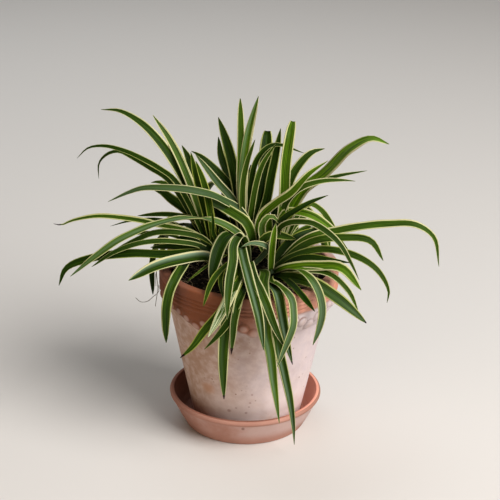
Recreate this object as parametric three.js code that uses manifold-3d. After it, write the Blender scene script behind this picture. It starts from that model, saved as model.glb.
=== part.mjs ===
// A potted spider plant: six rosettes of arching blades in a terracotta pot that stands in its saucer.
// Sizes are in millimetres. X is to the right, Y away from the viewer, Z up. Z = 0 is the table.
import * as THREE from "three";
import { mergeVertices } from "three/addons/utils/BufferGeometryUtils.js";
import Module from "manifold-3d";

const wasm = await Module();
wasm.setup();
const { Manifold, Mesh } = wasm;

const GAP = 0.3; // between pieces that touch
const TURN = 2 * Math.PI;

// Saucer
const SAUCER_SIDES = 40;
const SAUCER_BASE_R = 49;
const SAUCER_HEEL = 1; // bevel round the underside
const SAUCER_OUTSIDE = [[53.4, 9], [57.2, 17]]; // radius and height up the flaring wall
const SAUCER_INSIDE = [[54.6, 17], [51, 9.5]]; // and down its inner face
const SAUCER_FLOOR_Z = 6;
const SAUCER_FLOOR_R = 47.5;
const LIP_R = 60.8;
const LIP_INNER_R = 57.2;
const LIP_NECK_R = 59; // just under the bead
const LIP_TOP_Z = 26;
const LIP_BEAD = 4.2; // height of the bead round the lip
const LIP_ROUND = 1.2;
const SAUCER_X = -1.3; // the saucer sits a little to the left of the pot

// Pot
const POT_SIDES = 40;
const POT_FOOT_Z = SAUCER_FLOOR_Z + GAP;
const POT_FOOT_R = 43.2;
const POT_HEEL = 1.5; // bevel round the foot
const POT_BELLY = [52, 50]; // radius and height where the side swells least
const COVE_FOOT_Z = 98.4;
const COVE_TOP_Z = 115;
const COVE_FOOT_R = 61.7;
const COVE_DEPTH = 6.9;
const COVE_STEPS = 3;
const RIM_LEDGE_Z = 117.5;
const RIM_TOP_Z = 134.4;
const RIM_R = 70;
const RIM_ROUND = 1.5;
const RIDGES = 3; // fine ridges round the lower part of the rim
const RIDGE_STEP = 3;
const RIDGE_DEPTH = 0.8;
const FIRST_RIDGE_Z = RIM_LEDGE_Z + 1.6;
const MOUTH_R = 62.6;
const MOUTH_TAPER = 0.6;
const WALL = 5.6;
const POT_FLOOR_Z = 13.5;
const POT_FLOOR_R = POT_FOOT_R + 1 - WALL;
const DRAIN_R = 8;
const DRAIN_SIDES = 20;

// Garland on the cove under the rim
const SWAGS = 9;
const SWAG_TURN = TURN * (4 / 360); // of the first swag's middle from the front
const SWAG_TOP_Z = 113.5;
const SWAG_DROP = 10.5;
const SWAG_HALF_HEIGHT = 2.9;
const SWAG_END_HALF_HEIGHT = 0.9;
const SWAG_DEPTH = 1.9;
const SWAG_STEPS = 4;
const SWAG_SIDES = 5;
const KNOB_R = 2.4;
const KNOB_STRETCH = 1.15;
const KNOB_Z = 112.5;
const RELIEF_SINK = 0.5; // how far the middle of swags and knobs lies inside the cove's face

// Soil
const SOIL_SIDES = 28;
const SOIL_RINGS = 5;
const SOIL_R = MOUTH_R - 1.2;
const SOIL_CLEARANCE = 0.8; // to the pot's inner face
const SOIL_Z = 122.6;
const SOIL_MOUND = 2.2; // the middle's height over the edge
const SOIL_LUMP = 0.9;
const LUMP_WAVES = [0.31, 0.27, 0.17, 0.45]; // radians per mm

// Crowns
const CROWN_SIDES = 8;
const CROWN_FOOT_Z = 100;
const CROWN_NECK_Z = 130;
const CROWN_TOP_Z = 134;
const CROWN_R = 4.5;
const CROWN_TOP_R = 2;
const BLADE_ROOT_Z = 127.5;

// Blades
const BLADE_THICK = 0.8;
const BLADE_KEEL = 0.17; // depth of the channel as a share of the width
const BLADE_STEP = 60; // one section more for each such length
const BLADE_BEND = 0.78; // and for each such turn of the course, in radians
const BLADE_SAMPLES = 80;
const BLADE_FEWEST = 3; // stretches between sections
const BLADE_ROOT = 0.72; // width at the root as a share of the full width
const ROOT_END = 0.3; // where along the blade it reaches its full width
const TAPER_START = 0.4; // and where it starts to taper
const FACE = new THREE.Vector3(0, -0.75, 0.66); // where the side blades turn their upper face

// Colours
const TERRACOTTA = 0xb5705a;
const CHALKY = 0xc4a396;
const SOIL_COLOUR = 0x1d1713;
const LEAF = 0x2f6b2a;

function solid(geometry) {
  const bare = new THREE.BufferGeometry();
  bare.setAttribute("position", geometry.getAttribute("position"));
  if (geometry.index) bare.setIndex(geometry.index);
  const merged = mergeVertices(bare, 1e-3);
  return new Manifold(
    new Mesh({
      numProp: 3,
      vertProperties: new Float32Array(merged.attributes.position.array),
      triVerts: new Uint32Array(merged.index.array),
    }),
  );
}

function solidOf(points, faces) {
  return new Manifold(
    new Mesh({
      numProp: 3,
      vertProperties: new Float32Array(points.flatMap((p) => [p.x, p.y, p.z])),
      triVerts: new Uint32Array(faces.flat()),
    }),
  );
}

function named(name, body, colour, roughness) {
  const made = body.getMesh();
  const geometry = new THREE.BufferGeometry();
  geometry.setAttribute("position", new THREE.BufferAttribute(made.vertProperties, 3));
  geometry.setIndex(new THREE.BufferAttribute(made.triVerts, 1));
  geometry.computeVertexNormals();
  const mesh = new THREE.Mesh(
    geometry,
    new THREE.MeshStandardMaterial({ color: colour, roughness }),
  );
  mesh.name = name;
  return mesh;
}

// A profile of [radius, height] pairs, turned round the upright axis.
function turned(profile, sides) {
  const outline = profile.map(([r, z]) => new THREE.Vector2(r, z));
  const geometry = new THREE.LatheGeometry(outline, sides);
  geometry.rotateX(Math.PI / 2);
  const body = solid(geometry);
  return body.volume() < 0 ? solid(flipped(geometry)) : body;
}

// An upright rod on the axis, between two heights.
function rod(radius, low, high, sides) {
  return turned([[0, low], [radius, low], [radius, high], [0, high]], sides);
}

function flipped(geometry) {
  const order = Array.from(geometry.index.array);
  for (let i = 0; i < order.length; i += 3) {
    [order[i + 1], order[i + 2]] = [order[i + 2], order[i + 1]];
  }
  geometry.setIndex(order);
  return geometry;
}

// Rings of points in order, each ring with the same count, closed at both ends.
function skin(rings) {
  const count = rings[0].length;
  const faces = [];
  for (let i = 0; i + 1 < rings.length; i++) {
    for (let j = 0; j < count; j++) {
      const a = i * count + j;
      const b = i * count + ((j + 1) % count);
      faces.push([a, b, b + count], [a, b + count, a + count]);
    }
  }
  const last = (rings.length - 1) * count;
  for (let j = 1; j + 1 < count; j++) {
    faces.push([0, j + 1, j], [last, last + j, last + j + 1]);
  }
  const body = solidOf(rings.flat(), faces);
  if (body.volume() > 0) return body;
  return solidOf(rings.flat(), faces.map(([a, b, c]) => [a, c, b]));
}

function saucer() {
  const body = turned(
    [
      [0, 0],
      [SAUCER_BASE_R - SAUCER_HEEL, 0],
      [SAUCER_BASE_R, SAUCER_HEEL],
      ...SAUCER_OUTSIDE,
      [LIP_NECK_R, LIP_TOP_Z - LIP_BEAD - LIP_ROUND / 2],
      [LIP_R, LIP_TOP_Z - LIP_BEAD + LIP_ROUND / 2],
      [LIP_R, LIP_TOP_Z - LIP_ROUND],
      [LIP_R - LIP_ROUND, LIP_TOP_Z],
      [LIP_INNER_R + LIP_ROUND, LIP_TOP_Z],
      [LIP_INNER_R, LIP_TOP_Z - LIP_ROUND],
      ...SAUCER_INSIDE,
      [SAUCER_FLOOR_R, SAUCER_FLOOR_Z],
      [0, SAUCER_FLOOR_Z],
    ],
    SAUCER_SIDES,
  );
  const mesh = named("saucer", body, TERRACOTTA, 0.85);
  mesh.position.x = SAUCER_X;
  return mesh;
}

// Radius of the cove under the rim at a height: it leaves the side steeply and ends upright.
function coveRadius(z) {
  const left = Math.max(0, (COVE_TOP_Z - z) / (COVE_TOP_Z - COVE_FOOT_Z));
  return COVE_FOOT_R + COVE_DEPTH * (1 - left * left);
}

function cove() {
  const points = [];
  for (let i = 0; i <= COVE_STEPS; i++) {
    const z = COVE_FOOT_Z + ((COVE_TOP_Z - COVE_FOOT_Z) * i) / COVE_STEPS;
    points.push([coveRadius(z), z]);
  }
  return points;
}

// The ridges round the rim, each with the groove above it.
function ridges() {
  const points = [];
  for (let i = 0; i < RIDGES; i++) {
    const z = FIRST_RIDGE_Z + i * RIDGE_STEP;
    points.push([RIM_R, z], [RIM_R - RIDGE_DEPTH, z + RIDGE_STEP / 2]);
  }
  return points;
}

// The pot's inner face from the mouth down to the floor.
const POT_INSIDE = [
  [MOUTH_R - MOUTH_TAPER, RIM_LEDGE_Z],
  [COVE_FOOT_R - WALL, COVE_FOOT_Z],
  [POT_BELLY[0] - WALL, POT_BELLY[1]],
  [POT_FLOOR_R, POT_FLOOR_Z],
];

function potBody() {
  return turned(
    [
      [0, POT_FOOT_Z],
      [POT_FOOT_R - POT_HEEL, POT_FOOT_Z],
      [POT_FOOT_R, POT_FOOT_Z + POT_HEEL],
      POT_BELLY,
      ...cove(),
      [RIM_R - RIDGE_DEPTH, RIM_LEDGE_Z],
      ...ridges(),
      [RIM_R, FIRST_RIDGE_Z + RIDGES * RIDGE_STEP],
      [RIM_R, RIM_TOP_Z - RIM_ROUND],
      [RIM_R - RIM_ROUND, RIM_TOP_Z],
      [MOUTH_R + RIM_ROUND, RIM_TOP_Z],
      [MOUTH_R, RIM_TOP_Z - RIM_ROUND],
      ...POT_INSIDE,
      [0, POT_FLOOR_Z],
    ],
    POT_SIDES,
  );
}

// One festoon that hangs between two neighbouring knobs, thickest in its middle.
function swag(index) {
  const rings = [];
  for (let i = 0; i <= SWAG_STEPS; i++) {
    const along = (2 * i) / SWAG_STEPS - 1;
    const middle = 1 - along * along;
    const angle = SWAG_TURN + ((index + along / 2) * TURN) / SWAGS;
    const z = SWAG_TOP_Z - SWAG_DROP * middle;
    const half = SWAG_END_HALF_HEIGHT + (SWAG_HALF_HEIGHT - SWAG_END_HALF_HEIGHT) * middle;
    const ring = [];
    for (let j = 0; j < SWAG_SIDES; j++) {
      const a = (j * TURN) / SWAG_SIDES;
      const height = z + half * Math.sin(a);
      const r = coveRadius(z) - RELIEF_SINK + SWAG_DEPTH * Math.cos(a);
      ring.push(new THREE.Vector3(r * Math.sin(angle), -r * Math.cos(angle), height));
    }
    rings.push(ring);
  }
  return skin(rings);
}

function knob(index) {
  const angle = SWAG_TURN + ((index + 0.5) * TURN) / SWAGS;
  const geometry = new THREE.OctahedronGeometry(KNOB_R, 1);
  geometry.scale(1, 1, KNOB_STRETCH);
  const r = coveRadius(KNOB_Z) - RELIEF_SINK;
  geometry.translate(r * Math.sin(angle), -r * Math.cos(angle), KNOB_Z);
  return solid(geometry);
}

function pot() {
  let body = potBody();
  for (let i = 0; i < SWAGS; i++) {
    body = body.add(swag(i)).add(knob(i));
  }
  const drain = rod(DRAIN_R, POT_FOOT_Z - 1, POT_FLOOR_Z + 1, DRAIN_SIDES);
  return named("pot", body.subtract(drain), CHALKY, 0.9);
}

// Height of the soil: a low mound toward the crowns with small lumps.
function soilHeight(x, y) {
  const share = Math.hypot(x, y) / SOIL_R;
  const [a, b, c, d] = LUMP_WAVES;
  const lumps = Math.sin(a * x + 1) * Math.cos(b * y) + 0.6 * Math.sin(c * x - d * y);
  return SOIL_Z + SOIL_MOUND * (1 - share * share) + SOIL_LUMP * lumps * (1 - share / 2);
}

// A level ring of points on the soil's skin, at a height or on the lumpy top.
function soilRing(r, height) {
  const points = [];
  for (let j = 0; j < SOIL_SIDES; j++) {
    const x = r * Math.cos((j * TURN) / SOIL_SIDES);
    const y = r * Math.sin((j * TURN) / SOIL_SIDES);
    points.push(new THREE.Vector3(x, y, height ?? soilHeight(x, y)));
  }
  return points;
}

function soil(crowns) {
  const rings = [];
  for (const [r, z] of POT_INSIDE.toReversed()) {
    rings.push(soilRing(r - SOIL_CLEARANCE, Math.max(z, POT_FLOOR_Z + GAP)));
  }
  for (let i = 0; i < SOIL_RINGS; i++) {
    rings.push(soilRing(SOIL_R * (1 - i / SOIL_RINGS)));
  }
  let body = skin(rings);
  for (const [x, y] of Object.values(crowns)) {
    const hole = rod(CROWN_R + 2 * GAP, CROWN_FOOT_Z - GAP, RIM_TOP_Z, 2 * CROWN_SIDES);
    body = body.subtract(hole.translate([x, y, 0]));
  }
  return named("soil", body, SOIL_COLOUR, 1);
}

// Where each rosette's crown stands in the soil: x, y.
const CROWNS = {
  rosette_back_left: [-26, 17],
  rosette_back: [-3, 25],
  rosette_right: [20, 13],
  rosette_front_right: [17, -10],
  rosette_front: [0, 1],
  rosette_left: [-21, -6],
};

// How a blade turns its upper face: toward the viewer's side, or square to its own course.
const TOWARD = "toward";
const ACROSS = "across";

// How a blade ends: the power of its taper, and its tip's width as a share of the full width.
const POINTED = [3, 0.16];
const FULL = [5, 0.16];
const STRAP = [9, 0.16];
const BLUNT = [9, 0.5];

// Each blade: width, how its face turns, how it ends, then the points it arches through (x, y, z).
const BLADES = {
  rosette_back_left: [
    [8, TOWARD, POINTED, [-50, 26, 189], [-79, 38, 228], [-102, 46, 241], [-118, 50, 241]],
    [7, TOWARD, FULL, [-49, 25, 195], [-63, 36, 221], [-77, 44, 239]],
    [4.5, TOWARD, POINTED, [-58, 20, 193], [-71, 27, 201], [-84, 31, 207], [-97, 34, 212],
      [-115, 38, 215], [-128, 41, 212], [-137, 42, 203]],
    [4, TOWARD, POINTED, [-65, 34, 189], [-79, 38, 197], [-95, 43, 205], [-104, 46, 208],
      [-113, 49, 205], [-121, 54, 195], [-122, 57, 181]],
    [9, TOWARD, FULL, [-35, 24, 153], [-43, 27, 160], [-52, 31, 167], [-62, 36, 172],
      [-70, 41, 176], [-77, 44, 177]],
    [8, TOWARD, FULL, [-43, 36, 172], [-46, 42, 188], [-49, 49, 201], [-55, 55, 211]],
    [6, TOWARD, FULL, [-35, 16, 170], [-40, 12, 192], [-46, 12, 220]],
    [6, TOWARD, FULL, [-31, 14, 171], [-35, 10, 193], [-42, 9, 214]],
    [4.5, TOWARD, FULL, [-42, 22, 160], [-50, 24, 162], [-63, 26, 163], [-77, 28, 162],
      [-89, 30, 160]],
    [3, TOWARD, POINTED, [-63, 27, 156], [-92, 30, 156], [-111, 32, 150]],
    [3, TOWARD, POINTED, [-60, 14, 150], [-90, 14, 151], [-114, 12, 142]],
    [5, TOWARD, POINTED, [-42, 12, 152], [-73, 10, 161], [-86, 10, 164], [-117, 10, 167],
      [-138, 10, 163], [-147, 10, 159], [-153, 10, 160]],
    [5, TOWARD, FULL, [-42, 10, 140], [-60, 13, 141], [-78, 16, 139]],
    [5, ACROSS, STRAP, [-46, 32, 152], [-70, 44, 137], [-79, 50, 113], [-79, 52, 82]],
    [8, ACROSS, FULL, [-38, 42, 146], [-54, 68, 147], [-68, 90, 130], [-74, 98, 102]],
    [7, ACROSS, FULL, [-40, 38, 142], [-58, 60, 142], [-70, 78, 124], [-74, 84, 98]],
    [7, ACROSS, FULL, [-30, 48, 144], [-38, 74, 142], [-46, 92, 120], [-48, 98, 92]],
    [9, TOWARD, FULL, [-27, 24, 140], [-35, 28, 148], [-43, 33, 155], [-49, 38, 162]],
    [9, TOWARD, FULL, [-24, 24, 140], [-28, 28, 151], [-33, 33, 161]],
  ],
  rosette_back: [
    [6.5, TOWARD, FULL, [-9, 30, 174], [-24, 38, 193], [-40, 42, 207], [-47, 44, 210]],
    [6.5, TOWARD, FULL, [-11, 22, 173], [-26, 26, 191], [-43, 30, 212]],
    [9, TOWARD, FULL, [-10, 30, 183], [-17, 40, 211], [-26, 48, 237]],
    [7.5, TOWARD, FULL, [-14, 38, 184], [-23, 48, 203], [-26, 54, 219]],
    [6, TOWARD, STRAP, [-8, 28, 184], [-8, 34, 224], [-9, 40, 255]],
    [7.5, TOWARD, FULL, [-6, 22, 187], [-3, 20, 226], [5, 16, 264]],
    [5, TOWARD, FULL, [-6, 17, 188], [-3, 15, 210], [3, 12, 231]],
    [11, TOWARD, BLUNT, [9, 36, 169], [11, 48, 190], [12, 60, 207], [13, 68, 220]],
    [7.5, TOWARD, FULL, [13, 34, 173], [16, 38, 190], [20, 43, 211], [23, 47, 229]],
    [5, TOWARD, POINTED, [0, 26, 186], [5, 30, 209], [17, 36, 219], [42, 44, 210]],
    [5, TOWARD, FULL, [4, 20, 189], [9, 22, 207], [19, 26, 223]],
    [6.5, TOWARD, POINTED, [-1, 18, 157], [-5, 18, 167], [-12, 18, 174], [-19, 15, 179],
      [-28, 8, 186], [-38, 2, 191], [-50, 0, 194], [-68, 2, 194], [-83, 6, 192], [-93, 8, 188],
      [-110, 10, 179]],
    [8.5, TOWARD, FULL, [2, 8, 152], [-3, 7, 165], [-11, 10, 170], [-19, 15, 173], [-28, 31, 171],
      [-38, 46, 170], [-52, 53, 174], [-65, 55, 177], [-73, 57, 179], [-80, 58, 178]],
    [8, ACROSS, FULL, [-8, 48, 152], [-16, 75, 156], [-24, 100, 140], [-28, 112, 112]],
    [8, ACROSS, FULL, [8, 50, 150], [16, 76, 152], [22, 98, 134], [24, 106, 104]],
    [7.5, ACROSS, FULL, [0, 50, 140], [0, 78, 138], [2, 98, 116], [3, 102, 88]],
    [7, ACROSS, FULL, [-12, 52, 160], [-22, 70, 172], [-32, 84, 168], [-40, 92, 150]],
    [9, TOWARD, FULL, [-5, 32, 142], [-9, 38, 153], [-17, 44, 165], [-23, 50, 174]],
    [9, TOWARD, FULL, [0, 30, 141], [5, 35, 155], [9, 40, 167], [11, 45, 180]],
    [8, TOWARD, FULL, [-3, 30, 145], [-2, 36, 164], [0, 41, 184], [0, 46, 199]],
    [10, TOWARD, FULL, [-8, 31, 140], [-16, 35, 150], [-25, 39, 158], [-30, 42, 165]],
    [10, TOWARD, FULL, [-4, 29, 141], [-9, 32, 151], [-13, 35, 159], [-15, 37, 164]],
    [7.5, TOWARD, POINTED, [6, 11, 156], [9, 12, 168], [20, 8, 181], [31, 4, 191], [45, 5, 207],
      [59, 9, 216]],
  ],
  rosette_right: [
    [8.5, TOWARD, BLUNT, [26, 14, 177], [27, 18, 209], [30, 24, 232], [32, 34, 239]],
    [8, TOWARD, FULL, [30, 31, 188], [39, 36, 204], [48, 40, 212], [58, 44, 214]],
    [9, TOWARD, FULL, [28, 20, 158], [41, 24, 185], [57, 20, 201], [76, 9, 226], [91, 3, 236],
      [104, 0, 233]],
    [6, TOWARD, POINTED, [25, 14, 171], [31, 12, 185], [40, 12, 193], [54, 12, 198], [71, 13, 199],
      [81, 14, 198]],
    [3.5, TOWARD, FULL, [40, 30, 187], [64, 36, 193], [92, 42, 197]],
    [5.5, TOWARD, POINTED, [20, 6, 155], [25, 3, 169], [37, 1, 179], [48, 3, 185], [60, 6, 189]],
    [5, TOWARD, FULL, [40, 30, 167], [47, 34, 171], [56, 38, 165], [64, 42, 153], [72, 44, 138],
      [81, 46, 126]],
    [7, TOWARD, STRAP, [27, 12, 171], [36, 11, 173], [49, 10, 170], [60, 9, 163], [70, 8, 155]],
    [5.5, TOWARD, POINTED, [23, 2, 162], [30, -3, 169], [38, -8, 172], [48, -13, 173],
      [59, -18, 168], [69, -23, 160], [78, -28, 146], [84, -30, 134]],
    [6.5, TOWARD, POINTED, [10, 6, 155], [10, 4, 165], [13, 4, 170], [16, 4, 172], [20, 4, 170],
      [23, 4, 165]],
    [7.5, TOWARD, FULL, [10, 5, 149], [13, 3, 154], [20, 2, 157], [28, 1, 156], [36, -1, 155]],
    [8, ACROSS, FULL, [34, 36, 150], [50, 60, 152], [62, 82, 134], [68, 90, 104]],
    [7, ACROSS, FULL, [36, 36, 142], [52, 58, 142], [62, 74, 122], [66, 78, 96]],
    [7, ACROSS, FULL, [26, 42, 144], [34, 68, 142], [40, 88, 118], [42, 94, 90]],
    [7, ACROSS, FULL, [27, 38, 156], [37, 56, 161], [49, 72, 150], [56, 80, 128]],
    [9, TOWARD, FULL, [22, 22, 138], [21, 28, 151], [21, 34, 164], [24, 38, 176]],
    [9.5, TOWARD, FULL, [18, 16, 142], [14, 16, 154], [14, 17, 162], [15, 18, 170]],
  ],
  rosette_front_right: [
    [7, TOWARD, POINTED, [27, -5, 140], [43, -4, 156], [70, -3, 164], [105, -4, 170],
      [128, -5, 170], [142, -6, 160], [147, -8, 137]],
    [6.5, TOWARD, FULL, [32, -9, 145], [49, -10, 157], [74, -11, 161], [93, -13, 159],
      [103, -15, 144]],
    [9.2, TOWARD, FULL, [27, -2, 146], [38, 3, 154], [49, 9, 157], [55, 13, 159]],
    [6, TOWARD, POINTED, [28, -12, 142], [54, -14, 152], [77, -17, 150], [97, -24, 141],
      [107, -29, 125], [106, -31, 116]],
    [5, TOWARD, POINTED, [39, -20, 147], [77, -32, 149]],
    [5.5, TOWARD, FULL, [17, -12, 139], [18, -13, 157], [20, -12, 172]],
    [8.5, TOWARD, FULL, [28, -20, 138], [51, -28, 144], [70, -36, 146], [85, -42, 131]],
    [5, TOWARD, FULL, [39, -25, 139], [61, -36, 141], [75, -43, 131], [83, -47, 116]],
    [9.5, TOWARD, FULL, [27, -32, 136], [39, -42, 139], [52, -51, 138], [68, -59, 130],
      [88, -66, 115]],
    [6.5, ACROSS, FULL, [36, -36, 144], [41, -46, 146], [48, -56, 143], [53, -62, 135],
      [55, -64, 123], [53, -64, 109], [49, -62, 94]],
    [6, ACROSS, FULL, [27, -36, 136], [33, -50, 137], [40, -62, 134], [49, -73, 127]],
    [6, ACROSS, FULL, [16, -38, 136], [23, -55, 139], [28, -69, 140], [32, -78, 137],
      [33, -84, 130], [33, -88, 123], [30, -90, 113], [26, -91, 102], [22, -91, 90]],
    [8, ACROSS, POINTED, [15, -38, 136.5], [18, -52, 136.6], [22, -68, 137], [26, -76, 120],
      [30, -72, 98], [34, -69, 81]],
    [7.5, ACROSS, POINTED, [11, -38, 136], [11, -50, 136.6], [11.3, -62, 137.4], [12, -70, 136.7],
      [14, -75, 130], [17, -76, 120], [22, -76, 107], [24, -76, 95], [28, -76, 77], [33, -75, 53],
      [36, -74, 30], [37, -74, 15]],
  ],
  rosette_front: [
    [8.6, ACROSS, POINTED, [12, -36, 141], [11, -50, 140], [11, -63, 140], [12, -76, 136],
      [13, -81, 126], [14, -82, 112], [17, -82, 97], [20, -81, 73], [25, -80, 37]],
    [7.5, ACROSS, FULL, [0, -30, 147], [3, -50, 145], [8, -69, 142], [13, -81, 136], [19, -86, 122],
      [27, -88, 105]],
    [7.5, ACROSS, FULL, [-3, -4, 152], [-6, -9, 159], [-9, -15, 160], [-12, -26, 158],
      [-12, -43, 153], [-14, -65, 148], [-15, -82, 139], [-15, -87, 126]],
    [10.8, ACROSS, FULL, [-8, -3, 154], [-12, -8, 161], [-18, -15, 161], [-23, -24, 155],
      [-26, -33, 147], [-29, -44, 137]],
    [8, ACROSS, FULL, [-6, -16, 153], [-4, -34, 151], [-1, -54, 148], [2, -69, 143], [5, -80, 137],
      [8, -87, 128], [12, -90, 103]],
    [5, TOWARD, POINTED, [14, -10, 151], [5, -16, 157], [-1, -20, 158], [-6, -24, 157]],
    [5.2, ACROSS, FULL, [-13, -26, 145], [-18, -37, 146], [-25, -50, 143], [-29, -61, 139],
      [-31, -68, 135], [-33, -72, 129]],
    [3.2, ACROSS, POINTED, [-16, -14, 146], [-31, -28, 143], [-46, -42, 136]],
    [4.5, ACROSS, POINTED, [-19, -36, 143], [-21, -52, 141], [-18, -74, 135]],
    [8.5, ACROSS, FULL, [-5, -34, 147], [-7, -48, 144], [-11, -64, 141], [-15, -76, 136],
      [-21, -81, 125], [-29, -82, 109]],
    [6, ACROSS, FULL, [-2, -57, 141], [-6, -72, 137], [-14, -76, 120], [-23, -77, 107],
      [-32, -76, 96]],
    [7.5, ACROSS, FULL, [-7, -58, 143], [-18, -74.5, 129], [-31, -76, 113], [-41, -76, 98],
      [-50, -75, 88]],
    [6.5, ACROSS, FULL, [-6, -58, 137], [-7, -72, 135], [-10, -77, 121], [-11, -78, 107],
      [-12, -78, 93]],
    [9, ACROSS, FULL, [-10, -62, 143], [-14, -73.5, 134], [-17, -75.5, 110], [-18, -75.5, 83],
      [-17, -75, 54]],
    [6.8, TOWARD, FULL, [-2, 6, 146], [-7, 4, 155], [-14, 1, 162], [-22, -1, 167], [-33, -4, 171],
      [-48, -5, 172], [-59, -6, 171], [-82, -11, 165], [-101, -17, 157], [-118, -23, 146],
      [-136, -28, 132]],
    [3.5, TOWARD, POINTED, [-27, -10, 160], [-28, -11, 174], [-30, -12, 186]],
    [9, TOWARD, FULL, [-7, 6, 137], [-13, 9, 143], [-18, 11, 150], [-22, 12, 156], [-23, 13, 160]],
  ],
  rosette_left: [
    [5, TOWARD, FULL, [-34, 0, 152], [-54, -2, 159], [-74, -4, 159], [-89, -6, 153],
      [-104, -8, 146]],
    [4.5, TOWARD, FULL, [-34, -4, 147], [-58, -8, 154], [-81, -11, 154], [-103, -14, 147],
      [-121, -16, 135]],
    [7, TOWARD, FULL, [-34, -6, 143], [-62, -8, 143], [-93, -10, 144], [-123, -12, 140],
      [-141, -13, 132], [-147, -14, 118]],
    [9, TOWARD, FULL, [-30, -10, 142], [-53, -20, 144], [-72, -28, 141], [-91, -36, 133]],
    [8, TOWARD, FULL, [-33, -4, 139], [-40, -6, 141], [-47, -12, 141], [-51, -24, 139],
      [-55, -42, 138], [-59, -50, 131], [-61, -53, 121], [-62, -52, 106], [-62, -48, 87]],
    [8, TOWARD, FULL, [-26, -4, 141], [-34, -4, 148], [-46, -2, 153], [-57, 0, 154]],
  ],
};

// Width along a blade as a share of the full width: a narrower root, and a taper to the tip.
function bladeShare(s, [power, tip]) {
  const root = BLADE_ROOT + (1 - BLADE_ROOT) * Math.min(1, s / ROOT_END);
  const late = Math.max(0, (s - TAPER_START) / (1 - TAPER_START));
  return root * (1 - (1 - tip) * Math.pow(late, power));
}

// Where the sections of a blade stand: closer together where its course bends.
function bladeStations(course) {
  const length = course.getLength();
  const effort = [0];
  for (let i = 1; i <= BLADE_SAMPLES; i++) {
    const before = course.getTangentAt((i - 1) / BLADE_SAMPLES);
    const bend = before.angleTo(course.getTangentAt(i / BLADE_SAMPLES));
    effort.push(effort[i - 1] + length / BLADE_SAMPLES / BLADE_STEP + bend / BLADE_BEND);
  }
  const total = effort[BLADE_SAMPLES];
  const steps = Math.max(BLADE_FEWEST, Math.round(total));
  const stations = [];
  for (let i = 0; i <= steps; i++) {
    const after = effort.findIndex((e) => e >= (total * i) / steps - 1e-9);
    stations.push(after / BLADE_SAMPLES);
  }
  return stations;
}

function blade(crown, [width, turn, end, ...through]) {
  const root = new THREE.Vector3(crown[0], crown[1], BLADE_ROOT_Z);
  const points = [root, ...through.map((p) => new THREE.Vector3(...p))];
  const course = new THREE.CatmullRomCurve3(points, false, "centripetal");
  const stations = bladeStations(course);
  const sideways = Math.sign(root.y - points[points.length - 1].y) || 1;
  const rings = [];
  for (const s of stations) {
    const at = course.getPointAt(s);
    const along = course.getTangentAt(s);
    const across = new THREE.Vector3(sideways, 0, 0);
    if (turn === TOWARD) across.crossVectors(FACE, along);
    across.addScaledVector(along, -across.dot(along)).normalize();
    const up = new THREE.Vector3().crossVectors(along, across);
    const half = (width * bladeShare(s, end)) / 2;
    const keel = 2 * half * BLADE_KEEL;
    const place = (side, lift) => at.clone().addScaledVector(across, side).addScaledVector(up, lift);
    rings.push([
      place(-half, keel),
      place(0, 0),
      place(half, keel),
      place(half, keel - BLADE_THICK),
      place(0, -BLADE_THICK),
      place(-half, keel - BLADE_THICK),
    ]);
  }
  return skin(rings);
}

// The sheath of leaf bases at a rosette's heart, with its root in the soil.
function crownBody([x, y]) {
  const profile = [
    [0, CROWN_FOOT_Z],
    [CROWN_R, CROWN_FOOT_Z],
    [CROWN_R, CROWN_NECK_Z],
    [CROWN_TOP_R, CROWN_TOP_Z],
    [0, CROWN_TOP_Z],
  ];
  return turned(profile, CROWN_SIDES).translate([x, y, 0]);
}

// The outer skin alone: small hollows shut in between fused blades are filled.
function filled(body) {
  const shells = body.decompose();
  return shells.reduce((best, next) => (next.volume() > best.volume() ? next : best));
}

function rosette(name) {
  let body = crownBody(CROWNS[name]);
  for (const row of BLADES[name]) {
    body = body.add(blade(CROWNS[name], row));
  }
  return named(name, filled(body), LEAF, 0.5);
}

const plant = new THREE.Group();
for (const name of Object.keys(CROWNS)) {
  plant.add(rosette(name));
}

const group = new THREE.Group();
group.add(saucer(), pot(), soil(CROWNS), plant);

export default group;
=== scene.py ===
"""A potted spider plant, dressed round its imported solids.

Sizes are in millimetres until a piece is made, and in metres from there on.
X is to the right, Y away from the viewer, Z up. Z = 0 is the table.
"""

import math
import random

import bpy
import numpy as np
from mathutils import Matrix, Vector, noise


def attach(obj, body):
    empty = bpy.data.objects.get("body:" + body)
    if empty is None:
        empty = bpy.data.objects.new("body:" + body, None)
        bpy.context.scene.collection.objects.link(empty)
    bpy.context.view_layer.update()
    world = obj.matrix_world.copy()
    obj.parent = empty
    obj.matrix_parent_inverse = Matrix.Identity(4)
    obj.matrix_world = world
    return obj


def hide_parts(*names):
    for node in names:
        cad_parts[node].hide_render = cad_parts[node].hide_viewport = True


MM = 0.001
TURN = 2 * math.pi

# Saucer
SAUCER_SIDES = 240
SAUCER_BASE_R = 49
SAUCER_HEEL = 1
SAUCER_OUTSIDE = [(53.4, 9), (57.2, 17)]
SAUCER_INSIDE = [(54.6, 17), (51, 9.5)]
SAUCER_FLOOR_Z = 6
SAUCER_FLOOR_R = 47.5
LIP_R = 60.8
LIP_INNER_R = 57.2
LIP_NECK_R = 59
LIP_NECK_GAP = 0.3
LIP_TOP_Z = 26
LIP_BEAD = 4.2
LIP_ROUND = 0.6
# How many rings of the lip's bead already have the colour of the inside.
INSIDE_LIP_RINGS = 2
SAUCER_X = -1.3

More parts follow.
